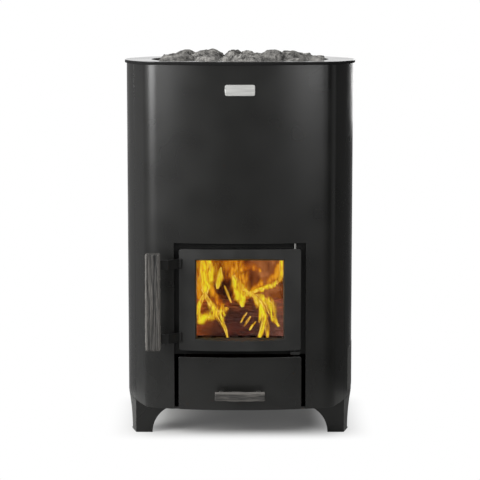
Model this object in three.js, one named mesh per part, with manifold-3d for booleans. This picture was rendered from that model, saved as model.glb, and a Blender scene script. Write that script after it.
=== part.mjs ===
// A wood-burning sauna stove: a black sheet-steel jacket with a barrel-shaped plan round a welded firebox,
// a glazed fire door with a wooden handle, an ash drawer, four arched legs and a bed of stones on top.
// Millimetres. X runs to the right, Y to the back and Z up, and the stove faces -Y.

import * as THREE from 'three';
import { mergeVertices } from 'three/addons/utils/BufferGeometryUtils.js';
import Module from 'manifold-3d';

const wasm = await Module();
wasm.setup();

// Jacket plan: four wide arcs with rounded corners between them
const JACKET_WIDTH = 450;
const JACKET_DEPTH = 500;
const FRONT_RADIUS = 600;
const SIDE_RADIUS = 530;
const CORNER_RADIUS = 40;
const JACKET_SHEET = 2;
const SEAM_SETBACK = 100; // upright seam between front and side panel, behind the front face
const SEAM_FLANGE = 12; // turned-in edge along each seam

// Heights from the floor upwards
const LEG_HEIGHT = 65;
const BODY_HEIGHT = 660; // jacket bottom to rim top
const BASE_SHEET = 4;

// Legs
const LEG_SHEET = 3;
const LEG_FRONT_WIDTH = 32; // at the floor
const LEG_SIDE_DEPTH = 33; // at the floor
const FRONT_ARCH_RADIUS = 55;
const SIDE_ARCH_RADIUS = 60;
const ARCH_LAND = 2; // metal left above the side arch

// Top rim
const RIM_SHEET = 3;
const RIM_OVERHANG = 3.5;
const RIM_LIP_DROP = 6;
const RIM_LIP_SHEET = 2.5;

// Stone compartment, hung inside the rim
const WELL_INSET = 46; // jacket face to compartment wall
const WELL_CORNER_RADIUS = 40;
const WELL_SHEET = 3;
const WELL_FLOOR = 5;
const WELL_DEPTH = 112; // rim underside to compartment floor

// Recess in the front panel, with the drawer below and the door above
const RECESS_WIDTH = 250;
const DRAWER_FRONT_HEIGHT = 101.5;
const DRAWER_SIDE_GAP = 8;
const DRAWER_TOP_GAP = 12.5;
const DOOR_HEIGHT = 194;
const DOOR_SIDE_GAP = 9.5;
const DOOR_TOP_GAP = 11;

// Door casting, its window and what holds the glass
const DOOR_EDGE_THICKNESS = 12.8;
const DOOR_SKIN = 14; // front face to pocket floor, at the middle of the door
const DOOR_CORNER_RADIUS = 5;
const SEAL_WIDTH = 6;
const SEAL_DEPTH = 8;
const SEAL_EDGE_MARGIN = 2; // top and bottom of the door to the rope seal
const POCKET_MARGIN = 1.5; // rope seal to the pocket that holds the glass
const CLIP_FOOT = 8.2;
const CLIP_SHEET = 1.5;
const CLIP_LENGTH = 110;
const GLASS_THICKNESS = 4;
const GLASS_LAP = 4; // glass edge behind the window edge
const GASKET_WIDTH = 3.5;
const GASKET_THICKNESS = 2;
const WINDOW_BEVEL = 4.5;
const WINDOW_BEVEL_DEPTH = 12;
const WINDOW_SILL = 19.5; // door bottom to window
const WINDOW_HEAD = 17.5; // window to door top
const CLIP_SCREW_DIAMETER = 3;
const CLIP_SCREW_HEAD = 5.4;
const CLIP_SCREW_HEAD_HEIGHT = 2;
const CLIP_SCREW_DEPTH = 4; // into the casting

// Hinge at the door's right edge
const HINGE_INSET = 10.8; // door edge to hinge axis
const HINGE_PIN_DIAMETER = 5;
const HINGE_PIN_DEPTH = 15; // into the door
const HINGE_LUG_HEIGHT = 6;
const HINGE_LUG_WIDTH = 17;
const HINGE_LUG_GAP = 3; // above the recess and below the door
const PIN_BACK_WALL = 3.2; // metal between the pin hole and the back of the door

// Door frame on the front of the firebox
const FRAME_THICKNESS = 8;
const FRAME_MARGIN = 12; // frame beyond the door's side edges
const FRAME_HEAD = 16; // frame above the recess
const FRAME_FOOT = 11; // frame below the door
const FRAME_LIP = 5; // frame inside the rope seal

// Door handle
const HANDLE_WIDTH = 29;
const HANDLE_DEPTH = 25;
const HANDLE_LENGTH = 185;
const HANDLE_EDGE_ROUND = 5;
const HANDLE_END_CHAMFER = 3;
const HANDLE_OFFSET = 48; // door edge to handle middle
const HANDLE_STANDOFF = 12; // handle back in front of the stove's foremost line
const HANDLE_RISE = 1; // handle middle above the door's middle
const ARM_SPACING = 141;
const ARM_DROP = 1; // middle between the arms below the door's middle
const ARM_HEIGHT = 18;
const ARM_SHEET = 4;
const ARM_FOOT = 5; // arm welded to the door's face
const ARM_REACH = 8; // arm past the handle's middle
const ARM_SLANT = 20; // sideways run of the slanted stretch
const BOLT_DIAMETER = 6;
const BOLT_HEAD = 10;
const BOLT_HEAD_HEIGHT = 4;
const BOLT_DEPTH = 15; // into the wood

// Ash drawer
const DRAWER_CORNER_RADIUS = 3;
const DRAWER_BOX_LIP = 13; // drawer front beyond the box
const DRAWER_BOX_HEIGHT = 80;
const DRAWER_REAR_GAP = 50; // box to the back of the firebox
const DRAWER_SHEET = 1.5;
const DRAWER_HANDLE_LENGTH = 96;
const DRAWER_HANDLE_HEIGHT = 17;
const DRAWER_HANDLE_DEPTH = 16;
const DRAWER_HANDLE_ROUND = 3;
const DRAWER_HANDLE_CHAMFER = 1.5;
const DRAWER_HANDLE_RISE = 32.5; // drawer bottom to handle middle
const STANDOFF_SPACING = 71;
const STANDOFF_LENGTH = 20;
const STANDOFF_DIAMETER = 12;
const DRAWER_SCREW_DIAMETER = 5;
const DRAWER_SCREW_HEAD = 10;
const DRAWER_SCREW_HEAD_HEIGHT = 3;
const DRAWER_SCREW_DEPTH = 9; // into the wood

// Firebox and what stands in it
const FIREBOX_SIDE_GAP = 75; // jacket face to firebox
const FIREBOX_REAR_GAP = 70;
const FIREBOX_SHEET = 5;
const FIREBOX_DROP = 7; // firebox underside below the door's bottom
const LEDGE_WIDTH = 10;
const BAFFLE_SHEET = 5;
const BAFFLE_FRONT_GAP = 80;
const GRATE_WIDTH = 220;
const GRATE_THICKNESS = 10;
const GRATE_LAP = 10;
const GRATE_FRONT_GAP = 34; // firebox wall to grate
const GRATE_REAR_GAP = 105;
const GRATE_SLOTS = 7;
const GRATE_SLOT_WIDTH = 10;
const GRATE_SLOT_PITCH = 26;
const GRATE_BORDER = 25;
const FLUE_DIAMETER = 120;
const FLUE_WALL = 4;
const FLUE_HEADROOM = 10; // collar flange below the firebox roof
const FLUE_FLANGE = 12;
const FLUE_FLANGE_SHEET = 4;
const FLUE_PROJECTION = 25; // collar behind the jacket
const FLUE_HOLE_GAP = 4;
const FLUE_BAFFLE_GAP = 15;
const LOG_LENGTH = 230;
const LOG_RADIUS = 42;
const LOG_FLAT = 14; // split side up to where the bark begins
const LOG_SPACING = 92;

// Channels that carry the firebox and guide the drawer
const CHANNEL_SHEET = 3;
const CHANNEL_FLANGE = 36;
const CHANNEL_END_GAP = 24;

// Plates on the jacket
const NAME_PLATE_WIDTH = 56;
const NAME_PLATE_HEIGHT = 20.5;
const NAME_PLATE_DROP = 53; // rim top to plate middle
const NAME_PLATE_SHEET = 1.2;
const NAME_PLATE_ROUND = 3;
const RATING_PLATE_SETBACK = 130;
const RATING_PLATE_WIDTH = 95;
const RATING_PLATE_HEIGHT = 86;
const RATING_PLATE_RISE = 11;
const RATING_PLATE_SHEET = 0.8;

// Stones: a staggered grid of lumps, cut flat where they touch and broken into facets on top
const STONE_SEED = 7; // start of the random numbers
const STONE_ROWS = 4;
const STONE_COLUMNS = 4;
const STONE_STAGGER = 40;
const STONE_JITTER = 15;
const STONE_CROWN = 23; // tallest stone above the rim top
const STONE_DIP = 8; // least tall stone below the tallest
const STONE_EDGE_DROP = 22; // further drop where the heap meets its edge
const STONE_EDGE_POWER = 4; // how late the heap falls away
// Rings of facets on a stone: how many, their lean from level in degrees, and a point that a facet
// passes: how far out from the stone's middle and how far below its top
const STONE_FACETS = [
  { count: 4, lean: 18, out: 9, below: 0 },
  { count: 6, lean: 50, out: 34, below: 10 },
];
const STONE_LEAN_SPREAD = 9; // degrees either way
const STONE_TURN_SPREAD = 0.3; // share of a ring's step either way
const STONE_OUT_SPREAD = 0.25; // share of the distance out either way

const SEAT = 0.3; // gap between pieces that touch
const RUN = 1.5; // gap beside a sliding piece
const BORE_GAP = 0.3; // gap round a pin or screw
const ROUND_SIDES = 16;
const FLUE_SIDES = 32;
const BOLT_HEAD_SIDES = 6;
const WOOD_EDGE_CHORDS = 4;
const BARK_CHORDS = 10;
const WELD_DISTANCE = 1e-4; // corners nearer than this are one corner
const CHORD_ERROR = 0.1; // arcs are cut into chords no further than this from the arc
const PAST = 10; // how far a cutter runs past what it cuts

// Places worked out from the sizes
const halfWidth = JACKET_WIDTH / 2;
const midDepth = JACKET_DEPTH / 2;
const jacketBottom = LEG_HEIGHT;
const rimTop = jacketBottom + BODY_HEIGHT;
const rimUnderside = rimTop - RIM_SHEET;
const jacketTop = rimUnderside - SEAT;
const baseTop = jacketBottom + BASE_SHEET;
const drawerTop = jacketBottom + DRAWER_FRONT_HEIGHT;
const doorBottom = drawerTop + DRAWER_TOP_GAP;
const doorTop = doorBottom + DOOR_HEIGHT;
const doorMiddle = (doorBottom + doorTop) / 2;
const recessTop = doorTop + DOOR_TOP_GAP;
const doorHalf = RECESS_WIDTH / 2 - DOOR_SIDE_GAP;
const drawerHalf = RECESS_WIDTH / 2 - DRAWER_SIDE_GAP;

// Depth of the front arc at a distance from the middle
const frontY = (x, inset = 0) => FRONT_RADIUS - Math.sqrt((FRONT_RADIUS - inset) ** 2 - x ** 2);
// Half width of the jacket at a distance behind the front
function sideX(y, inset = 0) {
  return halfWidth - SIDE_RADIUS + Math.sqrt((SIDE_RADIUS - inset) ** 2 - (y - midDepth) ** 2);
}

const doorBack = frontY(doorHalf) + DOOR_EDGE_THICKNESS;
const frameFace = doorBack + SEAT + SEAL_DEPTH + SEAT;
const frameBack = frameFace + FRAME_THICKNESS;
const fireboxFront = frameBack + SEAT;
const fireboxRear = JACKET_DEPTH - FIREBOX_REAR_GAP;
const fireboxHalf = halfWidth - FIREBOX_SIDE_GAP;
const fireboxBottom = doorBottom - FIREBOX_DROP;
const fireboxFloor = fireboxBottom + FIREBOX_SHEET;
const wellFloorTop = rimUnderside - WELL_DEPTH;
const wellFloorBottom = wellFloorTop - WELL_FLOOR;
const fireboxTop = wellFloorBottom - SEAT;
const fireboxRoof = fireboxTop - FIREBOX_SHEET;
const flueRadius = FLUE_DIAMETER / 2;
const flueBore = flueRadius - FLUE_WALL;
const flueZ = fireboxRoof - FLUE_HEADROOM - FLUE_FLANGE - flueRadius;
const baffleTop = flueZ - flueRadius - FLUE_FLANGE - FLUE_BAFFLE_GAP;
const baffleBottom = baffleTop - BAFFLE_SHEET;

const hingeX = doorHalf - HINGE_INSET;
const pinRadius = HINGE_PIN_DIAMETER / 2;
const hingeY = doorBack - PIN_BACK_WALL - BORE_GAP - pinRadius;

const handleX = -(doorHalf + HANDLE_OFFSET);
const handleBack = -HANDLE_STANDOFF - SEAT;
const handleFront = handleBack - HANDLE_DEPTH;
const handleMiddle = doorMiddle + HANDLE_RISE;
const armHeights = [1, -1].map((side) => doorMiddle - ARM_DROP + (side * ARM_SPACING) / 2);

const standoffHalf = STANDOFF_SPACING / 2;
const standoffBack = frontY(standoffHalf - STANDOFF_DIAMETER / 2) - SEAT;
const standoffFront = standoffBack - STANDOFF_LENGTH;
const drawerHandleBack = standoffFront - SEAT;
const drawerHandleFront = drawerHandleBack - DRAWER_HANDLE_DEPTH;
const drawerHandleZ = jacketBottom + DRAWER_HANDLE_RISE;

const frontmost = Math.min(handleFront, drawerHandleFront);
const rearmost = JACKET_DEPTH + FLUE_PROJECTION;

// Finishes
function finish(color, roughness, metalness) {
  return new THREE.MeshStandardMaterial({ color, roughness, metalness });
}

const BLACK_PAINT = finish(0x2b2b2a, 0.42, 0.3);
const BARE_STEEL = finish(0x6d6c6a, 0.45, 0.9);
const CAST_IRON = finish(0x333231, 0.6, 0.5);
const ZINC = finish(0xb9b8b3, 0.35, 1);
const BRUSHED_PLATE = finish(0xd9d9d6, 0.3, 1);
const HANDLE_WOOD = finish(0x62605d, 0.7, 0);
const SEAL_ROPE = finish(0x8d8a82, 0.95, 0);
const STONE = finish(0x7b7975, 0.95, 0);
const FIREWOOD = finish(0x4a3628, 0.9, 0);
const GLASS = finish(0x3a342c, 0.08, 0);

// Closed mesh to solid and back, with the joins and cuts between
function solid(geometry) {
  const bare = geometry.clone();
  bare.deleteAttribute('normal');
  bare.deleteAttribute('uv');
  const merged = mergeVertices(bare, WELD_DISTANCE);
  return new wasm.Manifold(new wasm.Mesh({
    numProp: 3,
    vertProperties: new Float32Array(merged.attributes.position.array),
    triVerts: new Uint32Array(merged.index.array),
  }));
}

function surface(body) {
  const { vertProperties, triVerts } = body.getMesh();
  const geometry = new THREE.BufferGeometry();
  geometry.setAttribute('position', new THREE.BufferAttribute(vertProperties, 3));
  geometry.setIndex(new THREE.BufferAttribute(triVerts, 1));
  const flat = geometry.toNonIndexed();
  flat.computeVertexNormals();
  return flat;
}

function cut(body, ...tools) {
  return surface(tools.reduce((left, tool) => left.subtract(solid(tool)), solid(body)));
}

function join(body, ...others) {
  return surface(others.reduce((sum, other) => sum.add(solid(other)), solid(body)));
}

function common(body, other) {
  return surface(solid(body).intersect(solid(other)));
}

// Basic solids
const shapeOf = (points) => new THREE.Shape(points.map(([x, y]) => new THREE.Vector2(x, y)));

function block(x0, x1, y0, y1, z0, z1) {
  const geometry = new THREE.BoxGeometry(x1 - x0, y1 - y0, z1 - z0);
  return geometry.translate((x0 + x1) / 2, (y0 + y1) / 2, (z0 + z1) / 2);
}

// Outline in X and Y, raised from z0 to z1
function slab(shape, z0, z1) {
  return new THREE.ExtrudeGeometry(shape, { depth: z1 - z0, bevelEnabled: false }).translate(0, 0, z0);
}

// Outline in X and Z, run back from y0 to y1
function upright(shape, y0, y1) {
  const geometry = new THREE.ExtrudeGeometry(shape, { depth: y1 - y0, bevelEnabled: false });
  return geometry.rotateX(Math.PI / 2).translate(0, y1, 0);
}

// Outline in Y and Z, run sideways from x0 to x1
function sideways(shape, x0, x1) {
  const turn = new THREE.Matrix4().makeBasis(
    new THREE.Vector3(0, 1, 0),
    new THREE.Vector3(0, 0, 1),
    new THREE.Vector3(1, 0, 0),
  );
  const geometry = new THREE.ExtrudeGeometry(shape, { depth: x1 - x0, bevelEnabled: false });
  return geometry.applyMatrix4(turn).translate(x0, 0, 0);
}

// Round bar along Y or along Z
function barY(x, z, radius, y0, y1, sides = ROUND_SIDES) {
  return new THREE.CylinderGeometry(radius, radius, y1 - y0, sides).translate(x, (y0 + y1) / 2, z);
}

function barZ(x, y, radius, z0, z1, sides = ROUND_SIDES) {
  const geometry = new THREE.CylinderGeometry(radius, radius, z1 - z0, sides).rotateX(Math.PI / 2);
  return geometry.translate(x, y, (z0 + z1) / 2);
}

function rounded(x0, x1, y0, y1, radius) {
  const shape = new THREE.Shape();
  shape.absarc(x1 - radius, y0 + radius, radius, -Math.PI / 2, 0);
  shape.absarc(x1 - radius, y1 - radius, radius, 0, Math.PI / 2);
  shape.absarc(x0 + radius, y1 - radius, radius, Math.PI / 2, Math.PI);
  shape.absarc(x0 + radius, y0 + radius, radius, Math.PI, 1.5 * Math.PI);
  return shape;
}

// Jacket plan as arcs, each run anticlockwise
const mirrorX = ({ x, y, r, from, to }) => ({ x: -x, y, r, from: Math.PI - to, to: Math.PI - from });
const mirrorY = ({ x, y, r, from, to }) => ({ x, y: JACKET_DEPTH - y, r, from: -to, to: -from });

// The arcs of the front, the right front corner and the right side, set in from the jacket face.
// The corner round touches both arcs, so its middle is where two smaller arcs cross.
function quarter(inset, corner = CORNER_RADIUS - inset) {
  const frontR = FRONT_RADIUS - inset;
  const sideR = SIDE_RADIUS - inset;
  const frontMiddle = new THREE.Vector2(0, FRONT_RADIUS);
  const sideMiddle = new THREE.Vector2(halfWidth - SIDE_RADIUS, midDepth);
  const between = sideMiddle.clone().sub(frontMiddle);
  const apart = between.length();
  const along = ((frontR - corner) ** 2 - (sideR - corner) ** 2 + apart ** 2) / (2 * apart);
  const across = Math.sqrt((frontR - corner) ** 2 - along ** 2);
  const unit = between.divideScalar(apart);
  const middle = new THREE.Vector2(
    frontMiddle.x + along * unit.x - across * unit.y,
    frontMiddle.y + along * unit.y + across * unit.x,
  );
  const frontSweep = Math.atan2(middle.x - frontMiddle.x, frontMiddle.y - middle.y);
  const sideSweep = Math.atan2(sideMiddle.y - middle.y, middle.x - sideMiddle.x);
  const frontEnd = frontSweep - Math.PI / 2;
  return {
    front: { x: frontMiddle.x, y: frontMiddle.y, r: frontR, from: -Math.PI - frontEnd, to: frontEnd },
    corner: { x: middle.x, y: middle.y, r: corner, from: frontEnd, to: -sideSweep },
    side: { x: sideMiddle.x, y: sideMiddle.y, r: sideR, from: -sideSweep, to: sideSweep },
  };
}

function arcPoints({ x, y, r, from, to }) {
  const step = 2 * Math.acos(1 - CHORD_ERROR / r);
  const count = Math.max(1, Math.ceil((to - from) / step));
  const points = [];
  for (let i = 0; i <= count; i += 1) {
    const angle = from + ((to - from) * i) / count;
    points.push([x + r * Math.cos(angle), y + r * Math.sin(angle)]);
  }
  return points;
}

// Points along arcs that follow one another, without the doubled joints
const trace = (arcs) => arcs.flatMap((arc, i) => arcPoints(arc).slice(i === 0 ? 0 : 1));

function barrel(inset, cornerRadius) {
  const { front, corner, side } = quarter(inset, cornerRadius);
  const rearCorner = mirrorY(corner);
  const right = [front, corner, side, rearCorner];
  const left = [mirrorY(front), mirrorX(rearCorner), mirrorX(side), mirrorX(corner)];
  return shapeOf(trace([...right, ...left]).slice(0, -1));
}

// Angle on the right side arc at a distance behind the front
const sideAngle = (y, inset) => Math.asin((y - midDepth) / (SIDE_RADIUS - inset));

function sideArc(y0, y1, inset) {
  const { side } = quarter(0);
  return { ...side, r: SIDE_RADIUS - inset, from: sideAngle(y0, inset), to: sideAngle(y1, inset) };
}

// Front panel section from the left seam round the front to the right seam
function frontRun(inset, setback) {
  const { front, corner } = quarter(inset);
  const end = { ...sideArc(0, setback, inset), from: corner.to };
  return trace([mirrorX(end), mirrorX(corner), front, corner, end]);
}

// Point inside the right side of the jacket
const inside = (y, inset) => [sideX(y, inset), y];

// Turned-in edge along a seam on the right, between two depths, clear of the base plate
function seamFlange(y0, y1, side) {
  const root = JACKET_SHEET / 2;
  const points = [inside(y0, root), inside(y1, root), inside(y1, SEAM_FLANGE), inside(y0, SEAM_FLANGE)];
  return slab(shapeOf(points.map(([x, y]) => [side * x, y])), baseTop + SEAT, jacketTop);
}

// Curved sheet from the left seam round the front to the right seam, with both edges turned in
function wrapSheet() {
  const seam = SEAM_SETBACK - SEAT / 2;
  const fold = seam - JACKET_SHEET;
  const section = shapeOf([...frontRun(0, seam), ...frontRun(JACKET_SHEET, seam).reverse()]);
  const sheet = slab(section, jacketBottom, jacketTop);
  return join(sheet, seamFlange(fold, seam, 1), seamFlange(fold, seam, -1));
}

function frontPanel() {
  const recess = block(-RECESS_WIDTH / 2, RECESS_WIDTH / 2, -PAST, SEAM_SETBACK, 0, recessTop);
  return cut(wrapSheet(), recess);
}

// The rear panel is the front panel turned about, with a flue hole in place of the recess
function rearPanel() {
  const hole = barY(0, flueZ, flueRadius + FLUE_HOLE_GAP, -PAST, SEAM_SETBACK, FLUE_SIDES);
  return cut(wrapSheet(), hole);
}

function sidePanel() {
  const seam = SEAM_SETBACK + SEAT / 2;
  const fold = seam + JACKET_SHEET;
  const far = JACKET_DEPTH - seam;
  const farFold = JACKET_DEPTH - fold;
  const outer = arcPoints(sideArc(seam, far, 0));
  const inner = arcPoints(sideArc(seam, far, JACKET_SHEET)).reverse();
  const sheet = slab(shapeOf([...outer, ...inner]), jacketBottom, jacketTop);
  return join(sheet, seamFlange(seam, fold, 1), seamFlange(farFold, far, 1));
}

// Outline of the inside of the stone compartment, and of the opening in the rim
const wellInside = () => barrel(WELL_INSET + WELL_SHEET, WELL_CORNER_RADIUS - WELL_SHEET);

function topRim() {
  const lipBottom = rimTop - RIM_LIP_DROP;
  const plate = slab(barrel(-RIM_OVERHANG), lipBottom, rimTop);
  const under = slab(barrel(RIM_LIP_SHEET - RIM_OVERHANG), lipBottom - PAST, rimUnderside);
  const opening = slab(wellInside(), lipBottom, rimTop + PAST);
  return cut(plate, under, opening);
}

function stoneCompartment() {
  const shell = slab(barrel(WELL_INSET, WELL_CORNER_RADIUS), wellFloorBottom, jacketTop);
  const hollow = slab(wellInside(), wellFloorTop, rimTop);
  return cut(shell, hollow);
}

// The base plate lies inside the jacket, behind the drawer front
const basePlate = () => slab(barrel(JACKET_SHEET + SEAT), jacketBottom, baseTop);

// Bent corner leg: one plate faces the front, one follows the jacket side, and an arch is cut in each.
// The leg is drawn on the right, and side is -1 for its mirror image.
function leg(side) {
  const top = jacketBottom - SEAT;
  const outerX = sideX(SEAM_SETBACK);
  const archX = outerX - LEG_FRONT_WIDTH - FRONT_ARCH_RADIUS;
  const archY = SEAM_SETBACK + LEG_SIDE_DEPTH + SIDE_ARCH_RADIUS;
  const sideArchZ = top - ARCH_LAND - SIDE_ARCH_RADIUS;
  const outer = arcPoints(sideArc(SEAM_SETBACK, archY, 0));
  const inner = arcPoints(sideArc(SEAM_SETBACK + LEG_SHEET, archY, LEG_SHEET)).reverse();
  const plan = [[archX, SEAM_SETBACK], ...outer, ...inner, [archX, SEAM_SETBACK + LEG_SHEET]];

  const frontArch = new THREE.Shape();
  frontArch.moveTo(side * (archX - PAST), -PAST);
  frontArch.lineTo(side * (archX + FRONT_ARCH_RADIUS), -PAST);
  if (side > 0) {
    frontArch.absarc(archX, 0, FRONT_ARCH_RADIUS, 0, Math.PI / 2);
  } else {
    frontArch.absarc(-archX, 0, FRONT_ARCH_RADIUS, Math.PI, Math.PI / 2, true);
  }
  frontArch.lineTo(side * (archX - PAST), FRONT_ARCH_RADIUS);

  const sideArch = new THREE.Shape();
  sideArch.moveTo(archY - SIDE_ARCH_RADIUS, -PAST);
  sideArch.absarc(archY, sideArchZ, SIDE_ARCH_RADIUS, Math.PI, Math.PI / 2, true);
  sideArch.lineTo(archY + PAST, sideArchZ + SIDE_ARCH_RADIUS);
  sideArch.lineTo(archY + PAST, -PAST);

  const sheet = slab(shapeOf(plan.map(([x, y]) => [side * x, y])), 0, top);
  const frontCutter = upright(frontArch, SEAM_SETBACK - PAST, SEAM_SETBACK + PAST);
  const nearX = side * (outerX - PAST);
  const farX = side * (halfWidth + PAST);
  const sideCutter = sideways(sideArch, Math.min(nearX, farX), Math.max(nearX, farX));
  return cut(sheet, frontCutter, sideCutter);
}

// Channel under each side of the firebox; its web guides the drawer
function channel(side) {
  const webX = drawerHalf - DRAWER_BOX_LIP + RUN;
  const bottom = baseTop + SEAT;
  const top = fireboxBottom - SEAT;
  const section = [
    [webX, bottom],
    [webX + CHANNEL_FLANGE, bottom],
    [webX + CHANNEL_FLANGE, bottom + CHANNEL_SHEET],
    [webX + CHANNEL_SHEET, bottom + CHANNEL_SHEET],
    [webX + CHANNEL_SHEET, top - CHANNEL_SHEET],
    [webX + CHANNEL_FLANGE, top - CHANNEL_SHEET],
    [webX + CHANNEL_FLANGE, top],
    [webX, top],
  ];
  const shape = shapeOf(section.map(([x, z]) => [side * x, z]));
  return upright(shape, fireboxFront + CHANNEL_END_GAP, fireboxRear - CHANNEL_END_GAP);
}

// Rope seal, pocket, glass and window follow one another inwards from the hinge side of the door
const sealOuterHalf = hingeX - SEAL_EDGE_MARGIN;
const sealInnerHalf = sealOuterHalf - SEAL_WIDTH;
const sealBottom = doorBottom + SEAL_EDGE_MARGIN;
const sealTop = doorTop - SEAL_EDGE_MARGIN;
const pocketHalf = sealInnerHalf - POCKET_MARGIN;
const pocketBottom = sealBottom + SEAL_WIDTH + POCKET_MARGIN;
const pocketTop = sealTop - SEAL_WIDTH - POCKET_MARGIN;
const glassHalf = pocketHalf - SEAT - CLIP_FOOT - SEAT;
const windowHalf = glassHalf - GLASS_LAP;
const windowBottom = doorBottom + WINDOW_SILL + WINDOW_BEVEL;
const windowTop = doorTop - WINDOW_HEAD - WINDOW_BEVEL;
const glassBottom = windowBottom - GLASS_LAP;
const glassTop = windowTop + GLASS_LAP;
const gasketY = DOOR_SKIN + SEAT;
const glassY = gasketY + GASKET_THICKNESS + SEAT;
const clipY = glassY + GLASS_THICKNESS + SEAT;
const clipScrewX = pocketHalf - SEAT - (CLIP_FOOT - CLIP_SHEET) / 2;
const clipScrewY = gasketY + CLIP_SHEET + SEAT;

// Upright rectangular ring, as for a frame or a seal
function ring(outer, inner, y0, y1) {
  const frame = block(-outer.half, outer.half, y0, y1, outer.bottom, outer.top);
  return cut(frame, block(-inner.half, inner.half, y0 - PAST, y1 + PAST, inner.bottom, inner.top));
}

// Window hole that narrows from the front of the door to the glass
function windowHole() {
  const spread = WINDOW_BEVEL * (1 + PAST / WINDOW_BEVEL_DEPTH);
  const sidesOf = (low, high) => [
    [-PAST, low - spread],
    [WINDOW_BEVEL_DEPTH, low],
    [DOOR_SKIN + PAST, low],
    [DOOR_SKIN + PAST, high],
    [WINDOW_BEVEL_DEPTH, high],
    [-PAST, high + spread],
  ];
  const plan = shapeOf(sidesOf(-windowHalf, windowHalf).map(([y, x]) => [x, y]));
  const profile = shapeOf(sidesOf(windowBottom, windowTop));
  return common(slab(plan, doorBottom, doorTop), sideways(profile, -doorHalf, doorHalf));
}

function doorCasting() {
  const { front } = quarter(0);
  const sweep = Math.asin(doorHalf / FRONT_RADIUS);
  const face = arcPoints({ ...front, from: -Math.PI / 2 - sweep, to: -Math.PI / 2 + sweep });
  const plan = shapeOf([...face, [doorHalf, doorBack], [-doorHalf, doorBack]]);
  const outline = rounded(-doorHalf, doorHalf, doorBottom, doorTop, DOOR_CORNER_RADIUS);
  const plate = common(slab(plan, doorBottom, doorTop), upright(outline, -PAST, doorBack + PAST));
  const pocket = block(-pocketHalf, pocketHalf, DOOR_SKIN, doorBack + PAST, pocketBottom, pocketTop);
  const pinHole = pinRadius + BORE_GAP;
  const holeDepth = HINGE_PIN_DEPTH + SEAT;
  const lowHole = barZ(hingeX, hingeY, pinHole, doorBottom - PAST, doorBottom + holeDepth);
  const highHole = barZ(hingeX, hingeY, pinHole, doorTop - holeDepth, doorTop + PAST);
  const screwHole = CLIP_SCREW_DIAMETER / 2 + BORE_GAP;
  const screwHoles = [-1, 1].map((side) => barY(
    side * clipScrewX,
    doorMiddle,
    screwHole,
    DOOR_SKIN - CLIP_SCREW_DEPTH - SEAT,
    DOOR_SKIN + PAST,
  ));
  return cut(plate, windowHole(), pocket, lowHole, highHole, ...screwHoles);
}

const doorGlass = () => block(-glassHalf, glassHalf, glassY, glassY + GLASS_THICKNESS, glassBottom, glassTop);

function glassGasket() {
  const outer = { half: glassHalf, bottom: glassBottom, top: glassTop };
  const inner = {
    half: glassHalf - GASKET_WIDTH,
    bottom: glassBottom + GASKET_WIDTH,
    top: glassTop - GASKET_WIDTH,
  };
  return ring(outer, inner, gasketY, gasketY + GASKET_THICKNESS);
}

// Stepped strip: its foot is screwed to the casting and its lip holds the glass
function glassClip(side) {
  const outerX = pocketHalf - SEAT;
  const stepX = glassHalf + SEAT;
  const lipX = glassHalf - GLASS_LAP;
  const section = [
    [outerX, gasketY],
    [outerX, gasketY + CLIP_SHEET],
    [stepX + CLIP_SHEET, gasketY + CLIP_SHEET],
    [stepX + CLIP_SHEET, clipY + CLIP_SHEET],
    [lipX, clipY + CLIP_SHEET],
    [lipX, clipY],
    [stepX, clipY],
    [stepX, gasketY],
  ];
  const shape = shapeOf(section.map(([x, y]) => [side * x, y]));
  const strip = slab(shape, doorMiddle - CLIP_LENGTH / 2, doorMiddle + CLIP_LENGTH / 2);
  const hole = barY(side * clipScrewX, doorMiddle, CLIP_SCREW_DIAMETER / 2 + BORE_GAP, 0, clipScrewY);
  return cut(strip, hole);
}

// Screw or bolt along Y, with its head at the back
function screw(x, z, headY, head, headHeight, diameter, tipY, headSides = ROUND_SIDES) {
  const shank = barY(x, z, diameter / 2, tipY, headY + headHeight / 2);
  return join(barY(x, z, head / 2, headY, headY + headHeight, headSides), shank);
}

function clipScrew(side) {
  const tip = DOOR_SKIN - CLIP_SCREW_DEPTH;
  const height = CLIP_SCREW_HEAD_HEIGHT;
  return screw(side * clipScrewX, doorMiddle, clipScrewY, CLIP_SCREW_HEAD, height, CLIP_SCREW_DIAMETER, tip);
}

function doorSeal() {
  const outer = { half: sealOuterHalf, bottom: sealBottom, top: sealTop };
  const inner = { half: sealInnerHalf, bottom: sealBottom + SEAL_WIDTH, top: sealTop - SEAL_WIDTH };
  return ring(outer, inner, doorBack + SEAT, doorBack + SEAT + SEAL_DEPTH);
}

const upperLugBottom = recessTop + HINGE_LUG_GAP;
const upperLugTop = upperLugBottom + HINGE_LUG_HEIGHT;
const lowerLugTop = doorBottom - HINGE_LUG_GAP;
const lowerLugBottom = lowerLugTop - HINGE_LUG_HEIGHT;

const upperHingePin = () => barZ(hingeX, hingeY, pinRadius, doorTop - HINGE_PIN_DEPTH, upperLugTop);
const lowerHingePin = () => barZ(hingeX, hingeY, pinRadius, lowerLugBottom, doorBottom + HINGE_PIN_DEPTH);

// Edges of the opening that the door shuts
const openingEdge = {
  half: sealInnerHalf - FRAME_LIP,
  bottom: sealBottom + SEAL_WIDTH + FRAME_LIP,
  top: sealTop - SEAL_WIDTH - FRAME_LIP,
};

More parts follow.
